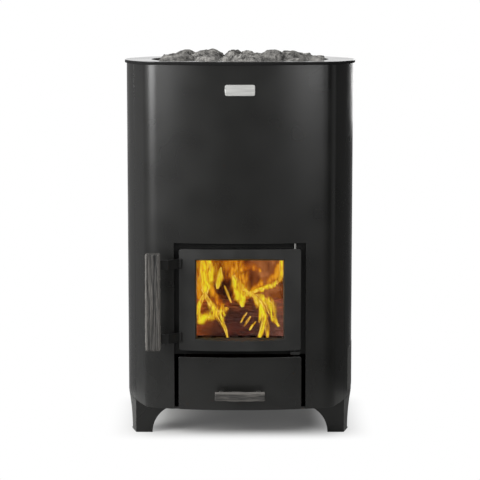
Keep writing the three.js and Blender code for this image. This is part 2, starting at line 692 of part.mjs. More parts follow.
// Plate round the door opening, with two lugs that hold the hinge pins
function doorFrame() {
  const frameHalf = doorHalf + FRAME_MARGIN;
  const outer = { half: frameHalf, bottom: doorBottom - FRAME_FOOT, top: recessTop + FRAME_HEAD };
  const plate = ring(outer, openingEdge, frameFace, frameBack);
  const lugFront = frontY(hingeX + HINGE_LUG_WIDTH / 2, JACKET_SHEET) + SEAT;
  const lugSides = [hingeX - HINGE_LUG_WIDTH / 2, hingeX + HINGE_LUG_WIDTH / 2];
  const upper = block(...lugSides, lugFront, frameBack, upperLugBottom, upperLugTop);
  const lower = block(...lugSides, lugFront, frameBack, lowerLugBottom, lowerLugTop);
  const bore = barZ(hingeX, hingeY, pinRadius + BORE_GAP, lowerLugBottom - PAST, upperLugTop + PAST);
  return cut(join(plate, upper, lower), bore);
}

// Offsets a line of points to both sides, with mitred bends
function strap(points, thickness) {
  const offset = (amount) => points.map(([x, y], i) => {
    const [x0, y0] = points[Math.max(i - 1, 0)];
    const [x1, y1] = points[Math.min(i + 1, points.length - 1)];
    const before = new THREE.Vector2(x - x0, y - y0).normalize();
    const after = new THREE.Vector2(x1 - x, y1 - y).normalize();
    const run = before.clone().add(after).normalize();
    const stretch = 1 / Math.max(run.dot(after), run.dot(before));
    return [x - run.y * amount * stretch, y + run.x * amount * stretch];
  });
  return shapeOf([...offset(thickness / 2), ...offset(-thickness / 2).reverse()]);
}

// Bent flat bar from the left edge of the door to the back of the handle
function handleArm(z) {
  const lift = SEAT + ARM_SHEET / 2;
  const { front } = quarter(-lift);
  const reach = (x) => Math.asin(x / front.r);
  const foot = arcPoints({
    ...front,
    from: -Math.PI / 2 - reach(doorHalf),
    to: -Math.PI / 2 - reach(doorHalf - ARM_FOOT),
  }).reverse();
  const gripY = -HANDLE_STANDOFF + ARM_SHEET / 2;
  const path = [...foot, [-doorHalf - ARM_SLANT, gripY], [handleX - ARM_REACH, gripY]];
  const bar = slab(strap(path, ARM_SHEET), z - ARM_HEIGHT / 2, z + ARM_HEIGHT / 2);
  return cut(bar, barY(handleX, z, BOLT_DIAMETER / 2 + BORE_GAP, gripY - ARM_SHEET, gripY + ARM_SHEET));
}

function handleBolt(z) {
  const headY = -HANDLE_STANDOFF + ARM_SHEET + SEAT;
  const tip = handleBack - BOLT_DEPTH;
  return screw(handleX, z, headY, BOLT_HEAD, BOLT_HEAD_HEIGHT, BOLT_DIAMETER, tip, BOLT_HEAD_SIDES);
}

// Wooden bar with rounded edges and chamfered ends, bored for its bolts
function woodBar(width, depth, length, edgeRound, chamfer) {
  const shape = rounded(-width / 2, width / 2, -depth / 2, depth / 2, edgeRound);
  return new THREE.ExtrudeGeometry(shape, {
    depth: length - 2 * chamfer,
    curveSegments: WOOD_EDGE_CHORDS,
    bevelThickness: chamfer,
    bevelSize: chamfer,
    bevelOffset: -chamfer,
    bevelSegments: 1,
  }).translate(0, 0, chamfer - length / 2);
}

function doorHandle() {
  const bar = woodBar(HANDLE_WIDTH, HANDLE_DEPTH, HANDLE_LENGTH, HANDLE_EDGE_ROUND, HANDLE_END_CHAMFER);
  bar.translate(handleX, handleBack - HANDLE_DEPTH / 2, handleMiddle);
  const radius = BOLT_DIAMETER / 2 + BORE_GAP;
  const deep = handleBack - BOLT_DEPTH - SEAT;
  const holes = armHeights.map((z) => barY(handleX, z, radius, deep, handleBack + PAST));
  return cut(bar, ...holes);
}

// Ash drawer
function arcSheet(half, outerInset, innerInset, z0, z1) {
  const run = (inset) => {
    const { front } = quarter(inset);
    const sweep = Math.asin(half / front.r);
    return arcPoints({ ...front, from: -Math.PI / 2 - sweep, to: -Math.PI / 2 + sweep });
  };
  return slab(shapeOf([...run(outerInset), ...run(innerInset).reverse()]), z0, z1);
}

const drawerScrewHole = DRAWER_SCREW_DIAMETER / 2 + BORE_GAP;

function drawerFront() {
  const sheet = arcSheet(drawerHalf, 0, JACKET_SHEET, jacketBottom, drawerTop);
  const outline = rounded(-drawerHalf, drawerHalf, jacketBottom, drawerTop, DRAWER_CORNER_RADIUS);
  const holes = [-1, 1].map((side) => (
    barY(side * standoffHalf, drawerHandleZ, drawerScrewHole, -PAST, SEAM_SETBACK)
  ));
  return cut(common(sheet, upright(outline, -PAST, SEAM_SETBACK)), ...holes);
}

// The box behind the drawer front, its own front wall bent to match
function drawerBox() {
  const half = drawerHalf - DRAWER_BOX_LIP;
  const rear = fireboxRear - DRAWER_REAR_GAP;
  const bottom = baseTop + SEAT;
  const top = bottom + DRAWER_BOX_HEIGHT;
  const plan = (inset, wall) => {
    const { front } = quarter(inset);
    const sweep = Math.asin((half - wall) / front.r);
    const face = arcPoints({ ...front, from: -Math.PI / 2 - sweep, to: -Math.PI / 2 + sweep });
    return shapeOf([...face, [half - wall, rear - wall], [wall - half, rear - wall]]);
  };
  const outerInset = JACKET_SHEET + SEAT;
  const shell = slab(plan(outerInset, 0), bottom, top);
  const hollow = slab(plan(outerInset + DRAWER_SHEET, DRAWER_SHEET), bottom + DRAWER_SHEET, top + PAST);
  const holes = [-1, 1].map((side) => (
    barY(side * standoffHalf, drawerHandleZ, drawerScrewHole, -PAST, SEAM_SETBACK)
  ));
  return cut(shell, hollow, ...holes);
}

function drawerStandoff(side) {
  const tube = barY(side * standoffHalf, drawerHandleZ, STANDOFF_DIAMETER / 2, standoffFront, standoffBack);
  return cut(tube, barY(side * standoffHalf, drawerHandleZ, drawerScrewHole, standoffFront - PAST, PAST));
}

function drawerScrew(side) {
  const wall = frontY(standoffHalf + DRAWER_SCREW_HEAD / 2, JACKET_SHEET + SEAT + DRAWER_SHEET);
  const tip = drawerHandleBack - DRAWER_SCREW_DEPTH;
  const height = DRAWER_SCREW_HEAD_HEIGHT;
  const x = side * standoffHalf;
  return screw(x, drawerHandleZ, wall + SEAT, DRAWER_SCREW_HEAD, height, DRAWER_SCREW_DIAMETER, tip);
}

function drawerHandle() {
  const length = DRAWER_HANDLE_LENGTH;
  const depth = DRAWER_HANDLE_DEPTH;
  const bar = woodBar(DRAWER_HANDLE_HEIGHT, depth, length, DRAWER_HANDLE_ROUND, DRAWER_HANDLE_CHAMFER);
  bar.rotateY(Math.PI / 2).translate(0, drawerHandleBack - depth / 2, drawerHandleZ);
  const deep = drawerHandleBack - DRAWER_SCREW_DEPTH - SEAT;
  const holes = [-1, 1].map((side) => barY(side * standoffHalf, drawerHandleZ, drawerScrewHole, deep, PAST));
  return cut(bar, ...holes);
}

// Firebox: welded box, open at the door, under the grate and at the flue, with ledges for the baffle
const grateRear = fireboxRear - FIREBOX_SHEET - GRATE_REAR_GAP;
const grateFront = fireboxFront + FIREBOX_SHEET + GRATE_FRONT_GAP;

function firebox() {
  const wall = FIREBOX_SHEET;
  const innerHalf = fireboxHalf - wall;
  const innerFront = fireboxFront + wall;
  const innerRear = fireboxRear - wall;
  const shell = block(-fireboxHalf, fireboxHalf, fireboxFront, fireboxRear, fireboxBottom, fireboxTop);
  const hollow = block(-innerHalf, innerHalf, innerFront, innerRear, fireboxFloor, fireboxRoof);
  const { half, bottom, top } = openingEdge;
  const doorway = block(-half, half, fireboxFront - PAST, innerFront + PAST, bottom, top);
  const ashHole = block(
    GRATE_LAP - GRATE_WIDTH / 2,
    GRATE_WIDTH / 2 - GRATE_LAP,
    grateFront + GRATE_LAP,
    grateRear - GRATE_LAP,
    fireboxBottom - PAST,
    fireboxFloor + PAST,
  );
  const flueHole = barY(0, flueZ, flueBore, innerRear - PAST, fireboxRear + PAST, FLUE_SIDES);
  const ledges = [-1, 1].map((side) => {
    const near = side * (innerHalf - LEDGE_WIDTH);
    const far = side * (innerHalf + wall / 2);
    const [x0, x1] = [Math.min(near, far), Math.max(near, far)];
    const top = baffleBottom - SEAT;
    return block(x0, x1, innerFront + BAFFLE_FRONT_GAP, innerRear + wall / 2, top - LEDGE_WIDTH, top);
  });
  return join(cut(shell, hollow, doorway, ashHole, flueHole), ...ledges);
}

function flameBaffle() {
  const half = fireboxHalf - FIREBOX_SHEET - SEAT;
  const front = fireboxFront + FIREBOX_SHEET + BAFFLE_FRONT_GAP;
  return block(-half, half, front, fireboxRear - FIREBOX_SHEET - SEAT, baffleBottom, baffleTop);
}

function grate() {
  const half = GRATE_WIDTH / 2;
  const bottom = fireboxFloor + SEAT;
  const top = bottom + GRATE_THICKNESS;
  const plate = block(-half, half, grateFront, grateRear, bottom, top);
  const slots = [];
  for (let i = 0; i < GRATE_SLOTS; i += 1) {
    const x = (i - (GRATE_SLOTS - 1) / 2) * GRATE_SLOT_PITCH;
    const slotHalf = GRATE_SLOT_WIDTH / 2;
    const [front, rear] = [grateFront + GRATE_BORDER, grateRear - GRATE_BORDER];
    slots.push(block(x - slotHalf, x + slotHalf, front, rear, bottom - PAST, top + PAST));
  }
  return cut(plate, ...slots);
}

// Turned collar with a flange against the firebox
function flueCollar() {
  const start = fireboxRear + SEAT;
  const profile = [
    [flueBore, start],
    [flueRadius + FLUE_FLANGE, start],
    [flueRadius + FLUE_FLANGE, start + FLUE_FLANGE_SHEET],
    [flueRadius, start + FLUE_FLANGE_SHEET],
    [flueRadius, rearmost],
    [flueBore, rearmost],
    [flueBore, start],
  ];
  const points = profile.map(([r, y]) => new THREE.Vector2(r, y));
  return new THREE.LatheGeometry(points, FLUE_SIDES).translate(0, 0, flueZ);
}

// Split log: two flat sides and a round of bark, lying on the grate
function firewoodLog(row) {
  const bottom = fireboxFloor + SEAT + GRATE_THICKNESS + SEAT;
  const y = (grateFront + grateRear) / 2 + (row * LOG_SPACING) / 2;
  const outline = [[y - LOG_RADIUS, bottom], [y + LOG_RADIUS, bottom]];
  for (let i = 0; i <= BARK_CHORDS; i += 1) {
    const angle = (Math.PI * i) / BARK_CHORDS;
    outline.push([y + LOG_RADIUS * Math.cos(angle), bottom + LOG_FLAT + LOG_RADIUS * Math.sin(angle)]);
  }
  return sideways(shapeOf(outline), -LOG_LENGTH / 2, LOG_LENGTH / 2);
}

// Plates on the jacket
function namePlate() {
  const half = NAME_PLATE_WIDTH / 2;
  const middle = rimTop - NAME_PLATE_DROP;
  const [low, high] = [middle - NAME_PLATE_HEIGHT / 2, middle + NAME_PLATE_HEIGHT / 2];
  const sheet = arcSheet(half, -SEAT - NAME_PLATE_SHEET, -SEAT, low, high);
  return common(sheet, upright(rounded(-half, half, low, high, NAME_PLATE_ROUND), -PAST, PAST));
}

function ratingPlate() {
  const end = RATING_PLATE_SETBACK + RATING_PLATE_WIDTH;
  const outer = arcPoints(sideArc(RATING_PLATE_SETBACK, end, -SEAT - RATING_PLATE_SHEET));
  const inner = arcPoints(sideArc(RATING_PLATE_SETBACK, end, -SEAT)).reverse();
  const low = jacketBottom + RATING_PLATE_RISE;
  return slab(shapeOf([...outer, ...inner]), low, low + RATING_PLATE_HEIGHT);
}

// Repeatable random numbers from 0 to 1, by a linear congruential generator
function dice(seed) {
  const factor = 1664525;
  const step = 1013904223;
  const range = 2 ** 32;
  let state = seed;
  return () => {
    state = (Math.imul(state, factor) + step) >>> 0;
    return state / range;
  };
}

// Large block on the far side of a plane
function halfSpace(point, normal) {
  const size = 2 * (JACKET_WIDTH + JACKET_DEPTH);
  const geometry = new THREE.BoxGeometry(size, size, size).translate(0, 0, size / 2);
  const turn = new THREE.Quaternion().setFromUnitVectors(new THREE.Vector3(0, 0, 1), normal);
  return geometry.applyQuaternion(turn).translate(point.x, point.y, point.z);
}

// Blocks that cut the top of a stone into facets
function stoneFacets(middle, top, spread) {
  return STONE_FACETS.flatMap(({ count, lean, out, below }) => {
    const start = spread(Math.PI);
    return Array.from({ length: count }, (_, i) => {
      const turn = start + ((i + spread(STONE_TURN_SPREAD)) * 2 * Math.PI) / count;
      const tilt = THREE.MathUtils.degToRad(lean + spread(STONE_LEAN_SPREAD));
      const away = new THREE.Vector3(Math.cos(turn), Math.sin(turn), 0);
      const normal = away.clone().multiplyScalar(Math.sin(tilt)).setZ(Math.cos(tilt));
      const distance = out * (1 + spread(STONE_OUT_SPREAD));
      const point = away.multiplyScalar(distance).add(middle).setZ(top - below);
      return halfSpace(point, normal);
    });
  });
}

function stones() {
  const roll = dice(STONE_SEED);
  const spread = (amount) => (2 * roll() - 1) * amount;
  const edge = WELL_INSET + WELL_SHEET;
  const wellHalf = halfWidth - edge;
  const wellHalfDepth = midDepth - edge;
  const columnPitch = (2 * wellHalf) / STONE_COLUMNS;
  const rowPitch = (2 * wellHalfDepth) / STONE_ROWS;
  const crown = rimTop + STONE_CROWN;
  const middles = [];
  for (let row = 0; row < STONE_ROWS; row += 1) {
    for (let column = 0; column < STONE_COLUMNS; column += 1) {
      const stagger = row % 2 === 0 ? -STONE_STAGGER : STONE_STAGGER;
      const x = (column - (STONE_COLUMNS - 1) / 2) * columnPitch + stagger / 2 + spread(STONE_JITTER);
      const y = midDepth + (row - (STONE_ROWS - 1) / 2) * rowPitch + spread(STONE_JITTER);
      middles.push(new THREE.Vector3(x, y, 0));
    }
  }
  const bed = barrel(edge + SEAT, WELL_CORNER_RADIUS - WELL_SHEET - SEAT);
  const near = 3 * Math.max(columnPitch, rowPitch); // stones further apart never touch
  return middles.map((middle) => {
    const offCentre = Math.max(Math.abs(middle.x) / wellHalf, Math.abs(middle.y - midDepth) / wellHalfDepth);
    const top = crown - STONE_DIP * roll() - STONE_EDGE_DROP * offCentre ** STONE_EDGE_POWER;
    const neighbours = middles.filter((other) => other !== middle && other.distanceTo(middle) < near);
    const sides = neighbours.map((other) => {
      const normal = other.clone().sub(middle).normalize();
      const point = middle.clone().add(other).multiplyScalar(0.5).addScaledVector(normal, -SEAT / 2);
      return halfSpace(point, normal);
    });
    return cut(slab(bed, wellFloorTop + SEAT, top), ...sides, ...stoneFacets(middle, top, spread));
  });
}

// Assembly
const stove = new THREE.Group();
stove.position.y = -(frontmost + rearmost) / 2;

function place(parent, name, geometry, material) {
  const mesh = new THREE.Mesh(geometry, material);
  mesh.name = name;
  parent.add(mesh);
}

const rear = new THREE.Group();
rear.position.y = JACKET_DEPTH;
rear.rotation.z = Math.PI;
stove.add(rear);

place(stove, 'front_panel', frontPanel(), BLACK_PAINT);
place(stove, 'right_side_panel', sidePanel(), BLACK_PAINT);
place(rear, 'left_side_panel', sidePanel(), BLACK_PAINT);
place(rear, 'rear_panel', rearPanel(), BLACK_PAINT);
place(stove, 'top_rim', topRim(), BLACK_PAINT);
place(stove, 'base_plate', basePlate(), BLACK_PAINT);
place(stove, 'front_left_leg', leg(-1), BLACK_PAINT);
place(stove, 'front_right_leg', leg(1), BLACK_PAINT);
place(rear, 'rear_left_leg', leg(1), BLACK_PAINT);
place(rear, 'rear_right_leg', leg(-1), BLACK_PAINT);
place(stove, 'name_plate', namePlate(), BRUSHED_PLATE);
place(stove, 'rating_plate', ratingPlate(), BRUSHED_PLATE);

place(stove, 'left_firebox_channel', channel(-1), BARE_STEEL);
place(stove, 'right_firebox_channel', channel(1), BARE_STEEL);
place(stove, 'firebox_shell', firebox(), BARE_STEEL);
place(stove, 'flame_baffle', flameBaffle(), BARE_STEEL);
place(stove, 'grate', grate(), CAST_IRON);
place(stove, 'flue_collar', flueCollar(), BLACK_PAINT);
place(stove, 'front_firewood_log', firewoodLog(-1), FIREWOOD);
place(stove, 'rear_firewood_log', firewoodLog(1), FIREWOOD);
place(stove, 'stone_compartment', stoneCompartment(), BARE_STEEL);
stones().forEach((geometry, i) => place(stove, `stone_${String(i + 1).padStart(2, '0')}`, geometry, STONE));

const door = new THREE.Group();
stove.add(door);
place(stove, 'door_frame', doorFrame(), CAST_IRON);
place(door, 'door_casting', doorCasting(), CAST_IRON);
place(door, 'door_glass', doorGlass(), GLASS);
place(door, 'glass_gasket', glassGasket(), SEAL_ROPE);
place(door, 'left_glass_clip', glassClip(-1), ZINC);
place(door, 'right_glass_clip', glassClip(1), ZINC);
place(door, 'left_clip_screw', clipScrew(-1), ZINC);
place(door, 'right_clip_screw', clipScrew(1), ZINC);
place(door, 'door_seal', doorSeal(), SEAL_ROPE);
place(door, 'upper_hinge_pin', upperHingePin(), ZINC);
place(door, 'lower_hinge_pin', lowerHingePin(), ZINC);
place(door, 'upper_handle_arm', handleArm(armHeights[0]), BLACK_PAINT);
place(door, 'lower_handle_arm', handleArm(armHeights[1]), BLACK_PAINT);
place(door, 'upper_handle_bolt', handleBolt(armHeights[0]), ZINC);
place(door, 'lower_handle_bolt', handleBolt(armHeights[1]), ZINC);
place(door, 'door_handle', doorHandle(), HANDLE_WOOD);

const drawer = new THREE.Group();
stove.add(drawer);
place(drawer, 'ash_drawer_front', drawerFront(), BLACK_PAINT);
place(drawer, 'ash_drawer_box', drawerBox(), BARE_STEEL);
place(drawer, 'drawer_handle', drawerHandle(), HANDLE_WOOD);
place(drawer, 'left_drawer_standoff', drawerStandoff(-1), ZINC);
place(drawer, 'right_drawer_standoff', drawerStandoff(1), ZINC);
place(drawer, 'left_drawer_screw', drawerScrew(-1), ZINC);
place(drawer, 'right_drawer_screw', drawerScrew(1), ZINC);

export default stove;
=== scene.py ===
"""Dresses a wood-burning sauna stove for rendering, round the frame that its CAD model gives.

The jacket, the drawer front and the plates are spun along the arcs of the jacket's plan. The flue collar
is turned from its section, the handles start from a cube, and the flames and the rope seal from a path.
The other pieces start from a copy of their CAD node. The door glass and the flat pieces of the firebox keep
their CAD mesh and get a finish only. Lengths are in metres unless a comment says millimetres.
"""

import math
import random

import bmesh
import bpy
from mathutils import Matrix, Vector, noise


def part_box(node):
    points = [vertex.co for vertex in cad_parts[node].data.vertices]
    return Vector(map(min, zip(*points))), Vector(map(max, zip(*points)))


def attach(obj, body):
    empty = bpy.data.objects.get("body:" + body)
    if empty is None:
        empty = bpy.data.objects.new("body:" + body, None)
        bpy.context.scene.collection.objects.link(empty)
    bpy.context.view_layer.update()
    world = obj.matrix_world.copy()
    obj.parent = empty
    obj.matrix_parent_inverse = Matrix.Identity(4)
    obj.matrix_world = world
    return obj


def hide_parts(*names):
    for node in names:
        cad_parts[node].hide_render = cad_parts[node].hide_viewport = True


bl_info = {
    "name": "Sauna stove",
    "version": (1, 0, 0),
    "blender": (4, 5, 0),
    "location": "View3D > Sidebar > Sauna stove",
    "description": "Builds a wood-burning sauna stove with its fire, stones and studio stage",
    "category": "Add Mesh",
}

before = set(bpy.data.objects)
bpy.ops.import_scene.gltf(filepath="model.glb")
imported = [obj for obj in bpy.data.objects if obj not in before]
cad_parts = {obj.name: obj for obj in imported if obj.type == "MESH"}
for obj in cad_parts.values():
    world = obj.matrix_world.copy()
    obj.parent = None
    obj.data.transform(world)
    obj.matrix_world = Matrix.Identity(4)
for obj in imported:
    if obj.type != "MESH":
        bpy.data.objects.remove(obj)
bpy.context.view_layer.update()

MM = 0.001
PANEL_LOW, PANEL_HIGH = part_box("front_panel")
FRONT_Y = PANEL_LOW.y
SIDE_LOW, SIDE_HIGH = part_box("right_side_panel")
HALF_WIDTH = SIDE_HIGH.x
MIDDLE_Y = (SIDE_LOW.y + SIDE_HIGH.y) / 2
DRAWER_LOW, DRAWER_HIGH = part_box("ash_drawer_front")
RIM_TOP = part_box("top_rim")[1].z
SMOOTH_ANGLE = math.radians(32)
SHARP_ANGLE = math.radians(28)
FLAT_ANGLE = math.radians(0.6)
CHAR_ANGLE = math.radians(45)
ARC_STEP = 6 * MM
BAR_STEP = 1.1 * MM
ROUGH_STEP = 2.4 * MM
MERGE = 0.01 * MM
NEAR = 0.1 * MM
ROUND_SIDES = 96

# Rounding of the edges of small pieces
SCREW_EDGE = 0.3 * MM
STANDOFF_EDGE = 0.4 * MM
STRAP_EDGE = 0.6 * MM
TAPE_EDGE = 0.7 * MM
NAME_PLATE_EDGE = 0.3 * MM
RATING_PLATE_EDGE = 0.2 * MM
DRAWER_BOX_EDGE = 0.3 * MM

# Length, depth and height of a plate of char on a log, in millimetres
CHAR_PLATE = (22, 9, 9)

# Soft boxes of the studio: place, the point that it faces, width, height and power in watts
SOFT_BOXES = {
    "left_strip_light": ((-1.16, -1.96, 1.15), (0, 0, 0.9), 0.2, 1.1, 7.5),
    "left_soft_box": ((-1.92, -1.21, 1.14), (-0.19, -0.21, 1.0), 1.4, 1.0, 82),
    "left_fill": ((-2.0, -0.1, 1.1), (0, 0, 0.9), 0.8, 1.0, 4),
    "right_soft_box": ((1.05, -2.0, 1.1), (0, 0, 0.9), 0.5, 1.0, 11),
    "right_edge_box": ((1.68, -1.57, 1.1), (0, 0, 0.9), 0.5, 1.0, 4),
    "right_fill": ((2.0, 0.15, 0.8), (0, 0, 0.6), 1.2, 1.6, 1.7),
    "rear_soft_box": ((0.75, 2.3, 1.05), (0, 0, 0.7), 0.4, 1.2, 4),
    "top_soft_box": ((0.2, -0.5, 2.6), (0, 0, 0.4), 1.8, 1.4, 28),
}

# Lamp inside the firebox: depth behind the front face, height, radius and power in watts
FIRE_DEPTH = 0.2
FIRE_HEIGHT = 0.38
FIRE_RADIUS = 0.05
FIRE_POWER = 2.2

# Floor: radius of the disc, and how far its middle lies in front of the stove's
FLOOR_RADIUS = 0.6
FLOOR_LEAD = 0.27

# Camera: distance from the front face, height, lens in millimetres, and angle from straight down
CAMERA_DISTANCE = 3.4
CAMERA_HEIGHT = 0.809
CAMERA_LENS = 136.65
CAMERA_ANGLE = math.radians(83)

# Layers of flame: depth behind the front face, half width, and lower and upper height, in millimetres
FLAME_LAYERS = {
    "front": (104, 84.6, 187, 338),
    "middle": (152, 85.8, 178, 332),
    "rear": (246, 88, 162, 320),
    "back": (300, 89.5, 152, 312),
}

# How much wider a tongue is than it looks, because it fades to its edge, and its depth as a share of that
FLAME_KINDS = {
    "flame": (2.0, 0.4),
    "flame_line": (1.0, 1.0),
    "low_flame": (1.7, 0.35),
    "fire_haze": (1.5, 0.1),
    "smoke_haze": (1.5, 0.1),
}

# Layer, finish, and points of (share of the width, share of the height, half width in mm) from the foot up
FLAME_TONGUES = (
    ("front", "flame", ((0.09, 0.5, 2), (0.1, 0.6, 6), (0.12, 0.74, 13), (0.11, 0.9, 17), (0.13, 1.15, 15))),
    ("front", "flame", ((0.08, 0.23, 2), (0.03, 0.25, 7), (0.01, 0.33, 6), (0.03, 0.44, 5), (0.1, 0.6, 2))),
    ("front", "flame", ((0.0, 0.2, 4), (0.06, 0.25, 9), (0.13, 0.28, 7), (0.19, 0.27, 7), (0.27, 0.36, 3))),
    ("front", "flame", ((0.36, 0, 2), (0.33, 0.12, 3), (0.28, 0.25, 5), (0.24, 0.33, 9), (0.15, 0.46, 5))),
    ("front", "flame", ((0.19, 0.41, 4), (0.14, 0.48, 5), (0.1, 0.56, 4), (0.06, 0.64, 1))),
    ("front", "flame", ((0.22, 0.34, 4), (0.28, 0.36, 8), (0.32, 0.34, 7), (0.36, 0.39, 2))),
    ("front", "low_flame", ((0.32, 0.36, 2), (0.25, 0.47, 8), (0.2, 0.57, 8), (0.15, 0.7, 3))),
    ("front", "flame", ((0.24, 0.64, 2), (0.26, 0.74, 6), (0.28, 0.82, 6), (0.28, 0.92, 1))),
    ("front", "flame", ((0.4, 0.46, 1), (0.36, 0.57, 3), (0.32, 0.68, 1))),
    ("middle", "flame", ((0.53, 0.4, 2), (0.51, 0.5, 9), (0.5, 0.61, 15), (0.46, 0.7, 8), (0.42, 0.82, 2))),
    ("front", "flame", ((0.55, 0.55, 2), (0.66, 0.6, 4), (0.79, 0.65, 5), (0.9, 0.69, 4), (0.97, 0.77, 4))),
    ("front", "flame", ((0.92, 0.7, 2), (0.97, 0.78, 4), (0.985, 0.88, 4), (0.97, 1.08, 3))),
    ("front", "flame", ((0.72, 0, 3), (0.765, 0.12, 5), (0.79, 0.24, 6), (0.77, 0.38, 8), (0.69, 0.5, 6))),
    ("front", "flame", ((0.74, 0.44, 5), (0.68, 0.53, 5), (0.62, 0.58, 5), (0.54, 0.63, 2))),
    ("front", "flame", ((0.95, 0.15, 2), (0.89, 0.22, 4), (0.85, 0.36, 9), (0.83, 0.46, 10), (0.7, 0.57, 3))),
    ("front", "flame", ((0.815, 0, 2), (0.82, 0.1, 4), (0.81, 0.2, 4), (0.78, 0.32, 2))),
    ("front", "flame", ((0.72, 0.2, 1), (0.73, 0.29, 4), (0.75, 0.4, 4), (0.73, 0.5, 2))),
    ("front", "flame", ((0.51, 0.2, 1), (0.54, 0.27, 3), (0.58, 0.33, 1))),
    ("front", "flame", ((0.55, 0.15, 1), (0.58, 0.22, 4), (0.62, 0.28, 1))),
    ("front", "flame", ((0.61, 0.1, 1), (0.645, 0.16, 3), (0.68, 0.21, 1))),
    ("middle", "low_flame", ((0.44, 0.8, 3), (0.55, 0.92, 8), (0.66, 0.94, 8), (0.74, 0.86, 3))),
    (
        "middle",
        "low_flame",
        ((0.6, 0.56, 4), (0.72, 0.68, 9), (0.86, 0.74, 10), (0.95, 0.86, 8), (0.97, 1.2, 4)),
    ),
    (
        "rear",
        "low_flame",
        ((0.57, 0.5, 6), (0.53, 0.72, 16), (0.45, 0.86, 24), (0.4, 1, 26), (0.37, 1.2, 12)),
    ),
    ("rear", "low_flame", ((0.02, 0.4, 6), (0.05, 0.6, 16), (0.1, 0.85, 24), (0.14, 1.2, 16))),
    ("rear", "smoke_haze", ((0.7, 0.3, 16), (0.82, 0.6, 36), (0.86, 0.9, 42), (0.84, 1.3, 30))),
    ("back", "fire_haze", ((0.5, 0.1, 60), (0.5, 0.6, 100), (0.5, 1, 100), (0.5, 1.4, 60))),
)


def linear(code):
    """sRGB hex code to linear red, green and blue."""
    channels = [int(code[i : i + 2], 16) / 255 for i in (1, 3, 5)]
    return tuple(c / 12.92 if c <= 0.04045 else ((c + 0.055) / 1.055) ** 2.4 for c in channels)


class StoveSizes(bpy.types.PropertyGroup):
    """Sizes of the stove that a user would change"""

    front_radius: bpy.props.FloatProperty(
        name="Front radius",
        description="Radius of the wide arc of the jacket's front and back",
        default=0.600,
        unit="LENGTH",
    )
    side_radius: bpy.props.FloatProperty(
        name="Side radius",
        description="Radius of the wide arc of the jacket's sides",
        default=0.530,
        unit="LENGTH",
    )
    corner_radius: bpy.props.FloatProperty(
        name="Corner radius",
        description="Radius of the jacket's upright corners",
        default=0.040,
        unit="LENGTH",
    )
    jacket_sheet: bpy.props.FloatProperty(
        name="Jacket sheet",
        description="Thickness of the jacket's steel sheet",
        default=0.002,
        unit="LENGTH",
    )
    seam_setback: bpy.props.FloatProperty(
        name="Seam setback",
        description="Distance from the front face back to the upright seams",
        default=0.100,
        unit="LENGTH",
    )
    seam_gap: bpy.props.FloatProperty(
        name="Seam gap",
        description="Gap between two panels at a seam",
        default=0.0006,
        unit="LENGTH",
    )
    recess_half: bpy.props.FloatProperty(
        name="Recess half width",
        description="Half the width of the cut in the front panel for the door and the drawer",
        default=0.125,
        unit="LENGTH",
    )
    recess_top: bpy.props.FloatProperty(
        name="Recess top",
        description="Height of the upper edge of the cut in the front panel",
        default=0.384,
        unit="LENGTH",
    )
    flue_hole: bpy.props.FloatProperty(
        name="Flue hole radius",
        description="Radius of the hole in the rear panel that the flue collar passes",
        default=0.064,
        unit="LENGTH",
    )
    sheet_edge: bpy.props.FloatProperty(
        name="Sheet edge",
        description="Rounding of the edges of bent sheet",
        default=0.0005,
        unit="LENGTH",
    )
    casting_edge: bpy.props.FloatProperty(
        name="Casting edge",
        description="Rounding of the edges of castings",
        default=0.0018,
        unit="LENGTH",
    )
    plate_corner: bpy.props.FloatProperty(
        name="Plate corner",
        description="Radius of the corners of the name plate",
        default=0.003,
        unit="LENGTH",
    )
    drawer_corner: bpy.props.FloatProperty(
        name="Drawer corner",
        description="Radius of the corners of the drawer front",
        default=0.003,
        unit="LENGTH",
    )
    handle_edge: bpy.props.FloatProperty(
        name="Handle edge",
        description="Rounding of the long edges of the door handle",
        default=0.005,
        unit="LENGTH",
    )
    grain_depth: bpy.props.FloatProperty(
        name="Grain depth",
        description="Depth of the weathered grooves in the handles",
        default=0.0011,
        unit="LENGTH",
    )
    stone_cleft: bpy.props.FloatProperty(
        name="Stone cleft",
        description="Depth of the chipped breaks in the stones' faces",
        default=0.0018,
        unit="LENGTH",
    )


